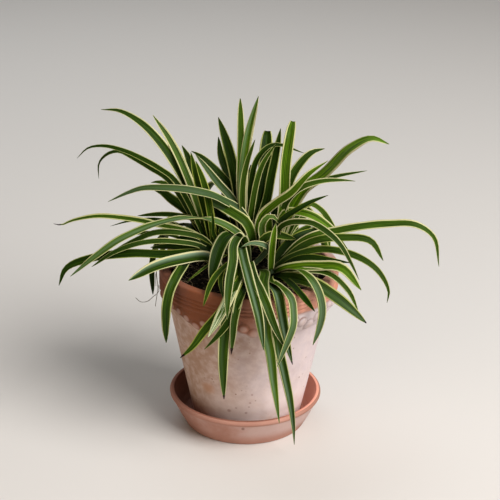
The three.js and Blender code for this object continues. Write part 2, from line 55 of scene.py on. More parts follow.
# Pot
POT_SIDES = 540
POT_FOOT_Z = 6.3
POT_FOOT_R = 43.2
POT_HEEL = 1.5
POT_BELLY = (52, 50)
COVE_FOOT_Z = 98.4
COVE_TOP_Z = 115
COVE_FOOT_R = 61.7
COVE_DEPTH = 6.9
RIM_LEDGE_Z = 117.5
RIM_TOP_Z = 134.4
RIM_R = 70
RIM_ROUND = 1.5
RIDGES = 3
RIDGE_STEP = 3
RIDGE_DEPTH = 0.8
FIRST_RIDGE_Z = RIM_LEDGE_Z + 1.6
MOUTH_R = 62.6
MOUTH_TAPER = 0.6
WALL = 5.6
POT_FLOOR_Z = 13.5
POT_FLOOR_R = POT_FOOT_R + 1 - WALL
DRAIN_R = 8
POT_INNER_FACE = [
    (MOUTH_R - MOUTH_TAPER, RIM_LEDGE_Z),
    (COVE_FOOT_R - WALL, COVE_FOOT_Z),
    (POT_BELLY[0] - WALL, POT_BELLY[1]),
    (POT_FLOOR_R, POT_FLOOR_Z),
]

# Garland of round lobes on the cove, with dirt and painted shade in its grooves and raw clay above its
# edge
SWAGS = 9
SWAG_TURN = math.radians(4)
SWAG_TOP_Z = 114
SWAG_DROP = 9.5
SWAG_POINT = 1.6
LOBES_EACH_SIDE = 3
LOBE_R = 4.7
LOBE_SHRINK = 1.5
LOBE_DEPTH = 1.6
LOBE_DOME = 0.7
GROOVE_REACH = 1.25
GROOVE_TOP = 0.55
RAW_SOFT = 1.2

# Small marks on the viewer's side of the clay: x, height and radius.
POT_DOTS = [
    (-6.8, 78.6, 0.8),
    (0.1, 53.7, 0.9),
    (-0.6, 48.3, 0.8),
    (4.1, 44.9, 1.3),
    (2.7, 37.0, 1.3),
    (1.9, 33.1, 1.0),
    (-0.3, 27.1, 1.5),
    (-13.6, 28.1, 2.0),
    (-8.1, 31.5, 1.1),
]
POT_SMUDGE = (14.6, 58.1, 2.6)
POT_OCHRE = (-29.4, 45.6, 7.5)
SAUCER_MARK = (-2.4, 19.0, 2.2)

# Dry strands that hang from the soil over the left of the rim: the points that each runs through.
STRAND_R = 0.24
STRAND_STEPS = 8
STRAND_SIDES = 6
STRANDS = [
    [(-50, -6, 123), (-60, -6, 133), (-67, -6, 136.2), (-71.5, -6, 132), (-71.5, -5, 122),
        (-71, -4, 113), (-72, -5, 105), (-73, -6, 98)],
    [(-48, -14, 123), (-58, -12, 133), (-66, -10, 136.3), (-71.5, -9, 131), (-71, -8, 120),
        (-70, -8, 112), (-74, -9, 108), (-79, -10, 104), (-84, -10, 103.5), (-88, -10, 107)],
    [(-46, -10, 123), (-57, -9, 133), (-65, -8, 136.2), (-71.5, -7.5, 130), (-72.3, -7, 116)],
]

# Soil
SOIL_SIDES = 180
SOIL_R = MOUTH_R - 1.2
SOIL_Z = 122.6
SOIL_MOUND = 2.2
SOIL_LUMP = 0.9
LUMP_WAVES = (0.31, 0.27, 0.17, 0.45)
SOIL_CLEARANCE = 0.8
SOIL_OVER_FLOOR = 0.3
SOIL_RINGS = 46
CRUMB_SCALE = 0.35
CRUMB_LIFT = 0.9
SOIL_CHIPS = 900
CHIPS_WITHIN = 0.97
CHIP_SIZES = [0.8, 1.1, 1.5, 2.2]
CHIP_FLATNESS = (0.5, 0.9)
CHIP_ROUGHNESS = (0.75, 1.15)
CHIP_PALENESS = [0.0, 0.05, 0.1, 0.25]
CHIP_LIFT = 0.3
CHIP_SIDES = 6
# A chip's rings: height and reach, as shares of its size.
CHIP_RINGS = [(-0.48, 0.5), (0, 1), (0.48, 0.55)]
SOIL_FIBRES = 90
FIBRES_FROM = 0.3
FIBRES_WITHIN = 0.95
FIBRES_HELD = 0.98
FIBRE_R = (0.16, 0.28)
FIBRE_STEPS = 10
FIBRE_STEP = 1.6
FIBRE_BEND = 0.35
FIBRE_LIFT = 1.1
FIBRE_ARCH = 1.6

# Crowns
CROWN_SIDES = 42
CROWN_FOOT_Z = 100
CROWN_NECK_Z = 130
CROWN_TOP_Z = 134
CROWN_R = 4.5
CROWN_TOP_R = 2
FLUTES = 7
FLUTE_DEPTH = 0.1
BLADE_ROOT_Z = 127.5

# Blades
BLADE_THICK = 0.75
BLADE_KEEL = 0.17
BLADE_KEEL_ROUND = 0.14
BLADE_STEP = 4.2
FEWEST_STEPS = 8
BLADE_SPAN_SAMPLES = 24
BLADE_COLUMNS = 10
BLADE_ROOT = 0.72
ROOT_END = 0.3
TAPER_START = 0.4
BLADE_RIPPLE = 0.35
RIPPLE_LENGTHS = (22, 40)
# Half widths under which a blade gets thinner, and its ripple calmer.
THIN_BELOW = 2
CALM_BELOW = 3
FACE = Vector((0, -0.75, 0.66))

# How a blade turns its upper face: toward the viewer's side, or square to its own course.
TOWARD = "toward"
ACROSS = "across"

# How a blade ends: the power of its taper, and its tip's width as a share of the full width.
POINTED = (3, 0.05)
FULL = (5, 0.06)
STRAP = (9, 0.12)
BLUNT = (9, 0.5)

# Each blade: width, how its face turns, how it ends, its look, the points that it arches through, and
# how much of its tip is burnt, where it is.
BACK_LEFT_BLADES = [
    (8, TOWARD, POINTED, "lined", [(-50, 26, 189), (-79, 38, 228), (-102, 46, 241), (-118, 50, 241)]),
    (7, TOWARD, FULL, "tall", [(-49, 25, 195), (-63, 36, 221), (-77, 44, 239)]),
    (4.5, TOWARD, POINTED, "dark", [(-58, 20, 193), (-71, 27, 201), (-84, 31, 207), (-97, 34, 212),
        (-115, 38, 215), (-128, 41, 212), (-137, 42, 203)]),
    (4, TOWARD, POINTED, "dark", [(-65, 34, 189), (-79, 38, 197), (-95, 43, 205), (-104, 46, 208),
        (-113, 49, 205), (-121, 54, 195), (-122, 57, 181)]),
    (9, TOWARD, FULL, "dark", [(-35, 24, 153), (-43, 27, 160), (-52, 31, 167), (-62, 36, 172),
        (-70, 41, 176), (-77, 44, 177)]),
    (8, TOWARD, FULL, "dark", [(-43, 36, 172), (-46, 42, 188), (-49, 49, 201), (-55, 55, 211)]),
    (6, TOWARD, FULL, "olive", [(-35, 16, 170), (-40, 12, 192), (-46, 12, 220)]),
    (6, TOWARD, FULL, "olive", [(-31, 14, 171), (-35, 10, 193), (-42, 9, 214)]),
    (4.5, TOWARD, FULL, "dark", [(-42, 22, 160), (-50, 24, 162), (-63, 26, 163), (-77, 28, 162),
        (-89, 30, 160)]),
    (3, TOWARD, POINTED, "dark", [(-63, 27, 156), (-92, 30, 156), (-111, 32, 150)]),
    (3, TOWARD, POINTED, "mid", [(-60, 14, 150), (-90, 14, 151), (-114, 12, 142)]),
    (5, TOWARD, POINTED, "sunny", [(-42, 12, 152), (-73, 10, 161), (-86, 10, 164), (-117, 10, 167),
        (-138, 10, 163), (-147, 10, 159), (-153, 10, 160)], 0.045),
    (5, TOWARD, FULL, "dark", [(-42, 10, 140), (-60, 13, 141), (-78, 16, 139)]),
    (5, ACROSS, STRAP, "deep", [(-46, 32, 152), (-70, 44, 137), (-79, 50, 113), (-79, 52, 82)]),
    (8, ACROSS, FULL, "mid", [(-38, 42, 146), (-54, 68, 147), (-68, 90, 130), (-74, 98, 102)]),
    (7, ACROSS, FULL, "mid", [(-40, 38, 142), (-58, 60, 142), (-70, 78, 124), (-74, 84, 98)]),
    (7, ACROSS, FULL, "mid", [(-30, 48, 144), (-38, 74, 142), (-46, 92, 120), (-48, 98, 92)]),
    (9, TOWARD, FULL, "deep", [(-27, 24, 140), (-35, 28, 148), (-43, 33, 155), (-49, 38, 162)]),
    (9, TOWARD, FULL, "deep", [(-24, 24, 140), (-28, 28, 151), (-33, 33, 161)]),
]

BACK_BLADES = [
    (6.5, TOWARD, FULL, "dark", [(-9, 30, 174), (-24, 38, 193), (-40, 42, 207), (-47, 44, 210)]),
    (6.5, TOWARD, FULL, "misty", [(-11, 22, 173), (-26, 26, 191), (-43, 30, 212)]),
    (9, TOWARD, FULL, "dark", [(-10, 30, 183), (-17, 40, 211), (-26, 48, 237)]),
    (7.5, TOWARD, FULL, "dark", [(-14, 38, 184), (-23, 48, 203), (-26, 54, 219)]),
    (6, TOWARD, STRAP, "edged", [(-8, 28, 184), (-8, 34, 224), (-9, 40, 255)]),
    (7.5, TOWARD, FULL, "leaning", [(-6, 22, 187), (-3, 20, 226), (5, 16, 264)]),
    (5, TOWARD, FULL, "mid", [(-6, 17, 188), (-3, 15, 210), (3, 12, 231)]),
    (11, TOWARD, BLUNT, "dark", [(9, 36, 169), (11, 48, 190), (12, 60, 207), (13, 68, 220)]),
    (7.5, TOWARD, FULL, "dark", [(13, 34, 173), (16, 38, 190), (20, 43, 211), (23, 47, 229)]),
    (5, TOWARD, POINTED, "dark", [(0, 26, 186), (5, 30, 209), (17, 36, 219), (42, 44, 210)]),
    (5, TOWARD, FULL, "mid", [(4, 20, 189), (9, 22, 207), (19, 26, 223)]),
    (6.5, TOWARD, POINTED, "misty", [(-1, 18, 157), (-5, 18, 167), (-12, 18, 174), (-19, 15, 179),
        (-28, 8, 186), (-38, 2, 191), (-50, 0, 194), (-68, 2, 194), (-83, 6, 192), (-93, 8, 188),
        (-110, 10, 179)]),
    (8.5, TOWARD, FULL, "mid", [(2, 8, 152), (-3, 7, 165), (-11, 10, 170), (-19, 15, 173), (-28, 31, 171),
        (-38, 46, 170), (-52, 53, 174), (-65, 55, 177), (-73, 57, 179), (-80, 58, 178)]),
    (8, ACROSS, FULL, "mid", [(-8, 48, 152), (-16, 75, 156), (-24, 100, 140), (-28, 112, 112)]),
    (8, ACROSS, FULL, "mid", [(8, 50, 150), (16, 76, 152), (22, 98, 134), (24, 106, 104)]),
    (7.5, ACROSS, FULL, "mid", [(0, 50, 140), (0, 78, 138), (2, 98, 116), (3, 102, 88)]),
    (7, ACROSS, FULL, "mid", [(-12, 52, 160), (-22, 70, 172), (-32, 84, 168), (-40, 92, 150)]),
    (9, TOWARD, FULL, "deep", [(-5, 32, 142), (-9, 38, 153), (-17, 44, 165), (-23, 50, 174)]),
    (9, TOWARD, FULL, "deep", [(0, 30, 141), (5, 35, 155), (9, 40, 167), (11, 45, 180)]),
    (8, TOWARD, FULL, "deep", [(-3, 30, 145), (-2, 36, 164), (0, 41, 184), (0, 46, 199)]),
    (10, TOWARD, FULL, "deep", [(-8, 31, 140), (-16, 35, 150), (-25, 39, 158), (-30, 42, 165)]),
    (10, TOWARD, FULL, "deep", [(-4, 29, 141), (-9, 32, 151), (-13, 35, 159), (-15, 37, 164)]),
    (7.5, TOWARD, POINTED, "climbing", [(6, 11, 156), (9, 12, 168), (20, 8, 181), (31, 4, 191),
        (45, 5, 207), (59, 9, 216)]),
]

RIGHT_BLADES = [
    (8.5, TOWARD, BLUNT, "banded", [(26, 14, 177), (27, 18, 209), (30, 24, 232), (32, 34, 239)]),
    (8, TOWARD, FULL, "lined", [(30, 31, 188), (39, 36, 204), (48, 40, 212), (58, 44, 214)]),
    (9, TOWARD, FULL, "broad", [(28, 20, 158), (41, 24, 185), (57, 20, 201), (76, 9, 226), (91, 3, 236),
        (104, 0, 233)]),
    (6, TOWARD, POINTED, "edged", [(25, 14, 171), (31, 12, 185), (40, 12, 193), (54, 12, 198),
        (71, 13, 199), (81, 14, 198)]),
    (3.5, TOWARD, FULL, "dark", [(40, 30, 187), (64, 36, 193), (92, 42, 197)]),
    (5.5, TOWARD, POINTED, "deep", [(20, 6, 155), (25, 3, 169), (37, 1, 179), (48, 3, 185),
        (60, 6, 189)]),
    (5, TOWARD, FULL, "mid", [(40, 30, 167), (47, 34, 171), (56, 38, 165), (64, 42, 153), (72, 44, 138),
        (81, 46, 126)]),
    (7, TOWARD, STRAP, "bright", [(27, 12, 171), (36, 11, 173), (49, 10, 170), (60, 9, 163),
        (70, 8, 155)]),
    (5.5, TOWARD, POINTED, "lined", [(23, 2, 162), (30, -3, 169), (38, -8, 172), (48, -13, 173),
        (59, -18, 168), (69, -23, 160), (78, -28, 146), (84, -30, 134)]),
    (6.5, TOWARD, POINTED, "pale", [(10, 6, 155), (10, 4, 165), (13, 4, 170), (16, 4, 172), (20, 4, 170),
        (23, 4, 165)]),
    (7.5, TOWARD, FULL, "shaded", [(10, 5, 149), (13, 3, 154), (20, 2, 157), (28, 1, 156),
        (36, -1, 155)]),
    (8, ACROSS, FULL, "mid", [(34, 36, 150), (50, 60, 152), (62, 82, 134), (68, 90, 104)]),
    (7, ACROSS, FULL, "mid", [(36, 36, 142), (52, 58, 142), (62, 74, 122), (66, 78, 96)]),
    (7, ACROSS, FULL, "mid", [(26, 42, 144), (34, 68, 142), (40, 88, 118), (42, 94, 90)]),
    (7, ACROSS, FULL, "mid", [(27, 38, 156), (37, 56, 161), (49, 72, 150), (56, 80, 128)]),
    (9, TOWARD, FULL, "deep", [(22, 22, 138), (21, 28, 151), (21, 34, 164), (24, 38, 176)]),
    (9.5, TOWARD, FULL, "inner", [(18, 16, 142), (14, 16, 154), (14, 17, 162), (15, 18, 170)]),
]

FRONT_RIGHT_BLADES = [
    (7, TOWARD, POINTED, "edged", [(27, -5, 140), (43, -4, 156), (70, -3, 164), (105, -4, 170),
        (128, -5, 170), (142, -6, 160), (147, -8, 137)]),
    (6.5, TOWARD, FULL, "shaded", [(32, -9, 145), (49, -10, 157), (74, -11, 161), (93, -13, 159),
        (103, -15, 144)]),
    (9.2, TOWARD, FULL, "deep", [(27, -2, 146), (38, 3, 154), (49, 9, 157), (55, 13, 159)]),
    (6, TOWARD, POINTED, "shaded", [(28, -12, 142), (54, -14, 152), (77, -17, 150), (97, -24, 141),
        (107, -29, 125), (106, -31, 116)]),
    (5, TOWARD, POINTED, "deep", [(39, -20, 147), (77, -32, 149)]),
    (5.5, TOWARD, FULL, "bright", [(17, -12, 139), (18, -13, 157), (20, -12, 172)]),
    (8.5, TOWARD, FULL, "bright", [(28, -20, 138), (51, -28, 144), (70, -36, 146), (85, -42, 131)]),
    (5, TOWARD, FULL, "edged", [(39, -25, 139), (61, -36, 141), (75, -43, 131), (83, -47, 116)]),
    (9.5, TOWARD, FULL, "glazed", [(27, -32, 136), (39, -42, 139), (52, -51, 138), (68, -59, 130),
        (88, -66, 115)], 0.02),
    (6.5, ACROSS, FULL, "hook", [(36, -36, 144), (41, -46, 146), (48, -56, 143), (53, -62, 135),
        (55, -64, 123), (53, -64, 109), (49, -62, 94)]),
    (6, ACROSS, FULL, "deep", [(27, -36, 136), (33, -50, 137), (40, -62, 134), (49, -73, 127)]),
    (6, ACROSS, FULL, "hook", [(16, -38, 136), (23, -55, 139), (28, -69, 140), (32, -78, 137),
        (33, -84, 130), (33, -88, 123), (30, -90, 113), (26, -91, 102), (22, -91, 90)]),
    (8, ACROSS, POINTED, "folded", [(15, -38, 136.5), (18, -52, 136.6), (22, -68, 137), (26, -76, 120),
        (30, -72, 98), (34, -69, 81)], 0.03),
    (7.5, ACROSS, POINTED, "lance", [(11, -38, 136), (11, -50, 136.6), (11.3, -62, 137.4),
        (12, -70, 136.7), (14, -75, 130), (17, -76, 120), (22, -76, 107), (24, -76, 95), (28, -76, 77),
        (33, -75, 53), (36, -74, 30), (37, -74, 15)]),
]

FRONT_BLADES = [
    (8.6, ACROSS, POINTED, "fresh", [(12, -36, 141), (11, -50, 140), (11, -63, 140), (12, -76, 136),
        (13, -81, 126), (14, -82, 112), (17, -82, 97), (20, -81, 73), (25, -80, 37)]),
    (7.5, ACROSS, FULL, "front", [(0, -30, 147), (3, -50, 145), (8, -69, 142), (13, -81, 136),
        (19, -86, 122), (27, -88, 105)]),
    (7.5, ACROSS, FULL, "front", [(-3, -4, 152), (-6, -9, 159), (-9, -15, 160), (-12, -26, 158),
        (-12, -43, 153), (-14, -65, 148), (-15, -82, 139), (-15, -87, 126)]),
    (10.8, ACROSS, FULL, "wide", [(-8, -3, 154), (-12, -8, 161), (-18, -15, 161), (-23, -24, 155),
        (-26, -33, 147), (-29, -44, 137)]),
    (8, ACROSS, FULL, "glossy", [(-6, -16, 153), (-4, -34, 151), (-1, -54, 148), (2, -69, 143),
        (5, -80, 137), (8, -87, 128), (12, -90, 103)]),
    (5, TOWARD, POINTED, "silver", [(14, -10, 151), (5, -16, 157), (-1, -20, 158), (-6, -24, 157)]),
    (5.2, ACROSS, FULL, "olive", [(-13, -26, 145), (-18, -37, 146), (-25, -50, 143), (-29, -61, 139),
        (-31, -68, 135), (-33, -72, 129)]),
    (3.2, ACROSS, POINTED, "olive", [(-16, -14, 146), (-31, -28, 143), (-46, -42, 136)]),
    (4.5, ACROSS, POINTED, "olive", [(-19, -36, 143), (-21, -52, 141), (-18, -74, 135)]),
    (8.5, ACROSS, FULL, "striped", [(-5, -34, 147), (-7, -48, 144), (-11, -64, 141), (-15, -76, 136),
        (-21, -81, 125), (-29, -82, 109)]),
    (6, ACROSS, FULL, "dark", [(-2, -57, 141), (-6, -72, 137), (-14, -76, 120), (-23, -77, 107),
        (-32, -76, 96)]),
    (7.5, ACROSS, FULL, "olive", [(-7, -58, 143), (-18, -74.5, 129), (-31, -76, 113), (-41, -76, 98),
        (-50, -75, 88)], 0.035),
    (6.5, ACROSS, FULL, "front", [(-6, -58, 137), (-7, -72, 135), (-10, -77, 121), (-11, -78, 107),
        (-12, -78, 93)], 0.05),
    (9, ACROSS, FULL, "front", [(-10, -62, 143), (-14, -73.5, 134), (-17, -75.5, 110), (-18, -75.5, 83),
        (-17, -75, 54)], 0.025),
    (6.8, TOWARD, FULL, "arching", [(-2, 6, 146), (-7, 4, 155), (-14, 1, 162), (-22, -1, 167),
        (-33, -4, 171), (-48, -5, 172), (-59, -6, 171), (-82, -11, 165), (-101, -17, 157),
        (-118, -23, 146), (-136, -28, 132)]),
    (3.5, TOWARD, POINTED, "deep", [(-27, -10, 160), (-28, -11, 174), (-30, -12, 186)]),
    (9, TOWARD, FULL, "deep", [(-7, 6, 137), (-13, 9, 143), (-18, 11, 150), (-22, 12, 156),
        (-23, 13, 160)]),
]

LEFT_BLADES = [
    (5, TOWARD, FULL, "left", [(-34, 0, 152), (-54, -2, 159), (-74, -4, 159), (-89, -6, 153),
        (-104, -8, 146)]),
    (4.5, TOWARD, FULL, "left", [(-34, -4, 147), (-58, -8, 154), (-81, -11, 154), (-103, -14, 147),
        (-121, -16, 135)]),
    (7, TOWARD, FULL, "under", [(-34, -6, 143), (-62, -8, 143), (-93, -10, 144), (-123, -12, 140),
        (-141, -13, 132), (-147, -14, 118)]),
    (9, TOWARD, FULL, "white", [(-30, -10, 142), (-53, -20, 144), (-72, -28, 141), (-91, -36, 133)]),
    (8, TOWARD, FULL, "left", [(-33, -4, 139), (-40, -6, 141), (-47, -12, 141), (-51, -24, 139),
        (-55, -42, 138), (-59, -50, 131), (-61, -53, 121), (-62, -52, 106), (-62, -48, 87)]),
    (8, TOWARD, FULL, "deep", [(-26, -4, 141), (-34, -4, 148), (-46, -2, 153), (-57, 0, 154)]),
]

# Each rosette: where its crown stands in the soil, x and y, and its blades.
ROSETTES = {
    "rosette_back_left": ((-26, 17), BACK_LEFT_BLADES),
    "rosette_back": ((-3, 25), BACK_BLADES),
    "rosette_right": ((20, 13), RIGHT_BLADES),
    "rosette_front_right": ((17, -10), FRONT_RIGHT_BLADES),
    "rosette_front": ((0, 1), FRONT_BLADES),
    "rosette_left": ((-21, -6), LEFT_BLADES),
}

# How a blade looks: how light its green is; its painted sheen, with its place across, its spread and
# where along it starts; how wide and how pale its margins are, the duller ones partly painted shade;
# how far they lean to one side; its white stripes; where along it the painted shade of its root
# ends; and how many degrees it rolls at places along it.
PLAIN_LOOK = dict(
    tone=0.5, painted_sheen=0.03, gleam=0.0, spread=0.6, start=0.0, cream=0.2, ivory=0.6, lean=0.0,
    stripes=0.0, root=0.24, roll=((0, 0),),
)
LOOKS = {
    "mid": {},
    "edged": dict(cream=0.27, ivory=0.9),
    "lined": dict(tone=0.25, cream=0.24, ivory=0.9, root=0.3),
    "tall": dict(tone=0.55, painted_sheen=0.12, cream=0.36, ivory=0.9),
    "bright": dict(tone=1.05, painted_sheen=0.0, cream=0.28, ivory=0.85),
    # A tone past 1 paints light onto a blade that the lamps leave in shade, as light glowing through it.
    "broad": dict(tone=1.5, painted_sheen=0.15, start=0.5, cream=0.28, ivory=1.0, lean=-0.15, root=0.12),
    "banded": dict(tone=0.9, painted_sheen=0.0, cream=0.24, ivory=0.75, lean=0.03),
    "leaning": dict(
        tone=1.1, painted_sheen=0.55, gleam=0.55, spread=0.32, start=0.25, cream=0.3, ivory=0.9, lean=-0.18,
    ),
    "dark": dict(tone=0.13, painted_sheen=0.0, cream=0.18, ivory=0.4),
    "left": dict(tone=0.25, root=0.12),
    # The next two looks are for blades in shade, and their near-black green is painted shade.
    "under": dict(tone=0.08, painted_sheen=0.0, cream=0.12, ivory=0.15, root=0.12),
    "deep": dict(tone=0.02, painted_sheen=0.0, cream=0.12, ivory=0.05, root=0.9),
    "shaded": dict(tone=0.3, ivory=0.3, root=0.5),
    "olive": dict(tone=0.35, ivory=0.12, cream=0.22, painted_sheen=0.0),
    "climbing": dict(tone=1.0, ivory=0.9, cream=0.28, painted_sheen=0.0, lean=0.08, root=0.3),
    # The next two looks lay painted sheen, a pale highlight, over much of a blade's face.
    "silver": dict(tone=0.3, painted_sheen=0.75, spread=0.8, cream=0.18, ivory=0.9),
    "misty": dict(tone=0.3, painted_sheen=0.32, spread=0.8, cream=0.18, ivory=0.9),
    "pale": dict(tone=0.8, painted_sheen=0.2, cream=0.28, ivory=0.8),
    "inner": dict(tone=1.0, painted_sheen=0.0, root=0.1),
    "sunny": dict(painted_sheen=0.0, cream=0.4),
    "glazed": dict(tone=0.3, painted_sheen=0.28, spread=0.5, start=0.45, ivory=0.4, root=0.5),
    "white": dict(
        tone=0.2, painted_sheen=1.4, gleam=-0.65, spread=0.35, cream=0.26, ivory=1.0, lean=-0.06, root=0.1,
    ),
    "front": dict(tone=0.3, painted_sheen=0.12, gleam=-0.3, spread=0.35, ivory=0.9, root=0.3),
    "wide": dict(tone=0.05, painted_sheen=0.0, ivory=0.9),
    "glossy": dict(tone=0.3, painted_sheen=0.85, gleam=-0.12, spread=0.26, ivory=0.9),
    "fresh": dict(tone=1.05, painted_sheen=0.78, gleam=-0.35, spread=0.35, start=0.45, ivory=0.7, root=0.6),
    "lance": dict(tone=0.3, painted_sheen=0.74, gleam=-0.3, spread=0.35, start=0.5, ivory=0.7, root=0.4),
    "hook": dict(tone=0.6, painted_sheen=0.62, spread=0.7, start=0.45, cream=0.24, ivory=0.8, root=0.35),
    "folded": dict(tone=0.25, painted_sheen=0.9, gleam=-0.3, spread=0.3, start=0.3, ivory=0.3, root=0.35),
    "striped": dict(tone=0.95, painted_sheen=0.0, cream=0.26, ivory=0.9, stripes=1.0),
    "arching": dict(
        tone=0.7, painted_sheen=0.42, gleam=-0.1, spread=0.5, ivory=0.7,
        roll=((0.22, 0), (0.3, 20), (0.37, 62), (0.46, 40), (0.6, 22), (0.8, 5)),
    ),
}
# Painted shade in the heart of a rosette: where along a blade it begins to fade, and its strength at the
# root.
ROOT_SHADE_FROM = 0.03
ROOT_SHADE_SHARE = 0.95
# How far along a blade its painted sheen takes to fade in.
PAINTED_SHEEN_RISE = 0.12
STRIPES_RISE = (0.5, 0.7)
# The sheaths at the heart are mostly in painted shade.
SHEATH_LOOK = dict(
    across=0.3, along=0.0, distance=0.0, tone=0.2, painted_sheen=0.0, stripes=0.0, cream=0.15, ivory=0.0,
    shade=0.8, burn=0.0, seed=0.5,
)

# Camera: its lens and sensor in millimetres, its eye in metres
LENS = 104.4
SENSOR = 36
EYE = (0.0006, -1.0407, 0.5759)
LOOKS_DOWN = math.radians(22.5)
LEANS = math.radians(1.0)

# Lights, in metres: each one's place, the side of its square, its power and its colour.
LIGHTS = {
    "window": ((1.25, -0.95, 1.5), 1.5, 75, (1.0, 0.98, 0.96)),
    "sky": ((-0.5, 1.1, 1.5), 1.4, 12, (0.86, 0.94, 1.0)),
    "fill": ((-1.3, -1.4, 0.5), 1.4, 10, (1.0, 0.82, 0.62)),
}
LIGHTS_AIM = Vector((0, 0, 0.13))
ROOM_COLOUR = (1.0, 0.9, 0.8, 1)
ROOM_LIGHT = 0.08
FLOOR_COLOUR = (0.62, 0.59, 0.56, 1)
FLOOR_REACH = 8.0
FLOOR_Z = -0.0002


class Skin:
    """Closed skins of one piece in the making, with values of each kind at each point."""

    def __init__(self, *kinds):
        self.points = []
        self.faces = []
        self.values = {kind: [] for kind in kinds}
        self.count = 0

    def loft(self, rings, loop=False, **values):
        """Joins rings of the same count. It closes the ends with fans, or the last ring to the first."""
        rings = np.asarray(rings, float)
        rows, columns = rings.shape[:2]
        points = rings.reshape(-1, 3)
        faces = quads(rows, columns, loop)
        spread = {kind: np.broadcast_to(v, (rows, columns)).reshape(-1) for kind, v in values.items()}
        if not loop:
            points = np.vstack([points, rings[0].mean(0), rings[-1].mean(0)])
            faces += fans(rows, columns)
            spread = {kind: np.append(v, [v[0], v[-1]]) for kind, v in spread.items()}
        if signed_volume(points, faces) < 0:
            faces = [face[::-1] for face in faces]
        self.faces += [tuple(index + self.count for index in face) for face in faces]
        self.points.append(points)
        self.count += len(points)
        for kind, value in spread.items():
            self.values[kind].append(value)

    def piece(self, name, material, slot, *replaced):
        """Makes the piece in metres, which rides on the pot's body and stands for the named nodes."""
        mesh = bpy.data.meshes.new(name)
        mesh.from_pydata((np.vstack(self.points) * MM).tolist(), [], self.faces)
        for kind, parts in self.values.items():
            values = mesh.attributes.new(kind, "FLOAT", "POINT").data
            values.foreach_set("value", np.concatenate(parts))
        mesh.polygons.foreach_set("use_smooth", [True] * len(mesh.polygons))
        mesh.update()
        mesh.materials.append(material)
        made = put(name, mesh)
        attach(made, "root")
        if replaced:
            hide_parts(*replaced)
        return made


def put(name, data):
    """A new object in the scene."""
    made = bpy.data.objects.new(name, data)
    bpy.context.scene.collection.objects.link(made)
    return made


def quads(rows, columns, loop):
    """Faces between neighbouring rings, and in a loop from the last ring to the first."""
    row = np.arange(rows if loop else rows - 1)[:, None]
    column = np.arange(columns)[None, :]
    after = (column + 1) % columns
    below = (row + 1) % rows
    corners = (
        row * columns + column,
        row * columns + after,
        below * columns + after,
        below * columns + column,
    )
    return np.stack(np.broadcast_arrays(*corners), -1).reshape(-1, 4).tolist()


def fans(rows, columns):
    """Faces that close the first and last ring, each round a middle point that follows the rings."""
    first = rows * columns
    last = first + 1
    end = (rows - 1) * columns
    faces = []
    for j in range(columns):
        k = (j + 1) % columns
        faces.append((first, k, j))
        faces.append((last, end + j, end + k))
    return faces


def signed_volume(points, faces):
    """Six times the volume inside the faces, below 0 where they point inward."""
    total = 0.0
    for size in (3, 4):
        chosen = np.array([face for face in faces if len(face) == size])
        for k in range(1, size - 1):
            if len(chosen):
                a, b, c = (points[chosen[:, i]] for i in (0, k, k + 1))
                total += np.einsum("ij,ij->i", a, np.cross(b, c)).sum()
    return total


def smooth(value, low, high):
    """0 below low, 1 above high, smooth between."""
    t = np.clip((value - low) / (high - low), 0, 1)
    return t * t * (3 - 2 * t)


def angles(sides):
    """The angle of each corner of a ring."""
    return np.arange(sides) * TURN / sides


def turned(profile, sides):
    """Rings of a profile of (radius, height) points turned round the upright axis."""
    angle = angles(sides)
    r, z = np.array(profile, float).T
    return np.stack([
        r[:, None] * np.sin(angle),
        -r[:, None] * np.cos(angle),
        np.broadcast_to(z[:, None], (len(r), sides)),
    ], -1)


def between(start, end, count):
    """Points on the straight line from start to end, without the end."""
    way = np.array(end) - np.array(start)
    return [tuple(np.array(start) + way * i / count) for i in range(count)]


def corner(centre, radius, start, end, count=5):
    """Points round a corner: part of a circle between two angles in degrees."""
    turns = np.radians(np.linspace(start, end, count))
    return [(centre[0] + radius * math.cos(a), centre[1] + radius * math.sin(a)) for a in turns]


# Blades

def curve_through(points):
    """Dense samples of the centripetal curve through the points, as the solids' blades follow it."""
    knots = [2 * points[0] - points[1], *points, 2 * points[-1] - points[-2]]
    samples = []
    for p0, p1, p2, p3 in zip(knots, knots[1:], knots[2:], knots[3:]):
        d0, d1, d2 = ((b - a).length ** 0.5 for a, b in ((p0, p1), (p1, p2), (p2, p3)))
        t1 = ((p1 - p0) / d0 - (p2 - p0) / (d0 + d1) + (p2 - p1) / d1) * d1
        t2 = ((p2 - p1) / d1 - (p3 - p1) / (d1 + d2) + (p3 - p2) / d2) * d1
        for i in range(BLADE_SPAN_SAMPLES):
            t = i / BLADE_SPAN_SAMPLES
            cubic = 2 * p1 - 2 * p2 + t1 + t2
            square = -3 * p1 + 3 * p2 - 2 * t1 - t2
            samples.append(p1 + t1 * t + square * t ** 2 + cubic * t ** 3)
    samples.append(points[-1])
    return samples


def blade_width(s, end):
    """Share of the full width at s from 0, the root, to 1, the tip."""
    power, tip = end
    root = BLADE_ROOT + (1 - BLADE_ROOT) * min(1, s / ROOT_END)
    late = max(0, (s - TAPER_START) / (1 - TAPER_START))
    return root * (1 - (1 - tip) * late ** power)


def blade_section():
    """Round a blade, over its top and back underneath: place across, lift by the channel, underside."""
    over = np.linspace(-1, 1, BLADE_COLUMNS + 1)
    back = over[-2:0:-1]
    deepest = math.hypot(1, BLADE_KEEL_ROUND) - BLADE_KEEL_ROUND
    channel = (np.hypot(over, BLADE_KEEL_ROUND) - BLADE_KEEL_ROUND) / deepest
    places = np.concatenate([over, back])
    lifts = np.concatenate([channel, channel[-2:0:-1]])
    unders = np.concatenate([np.zeros(len(over)), np.sqrt(1 - back ** 2)])
    return places, lifts, unders


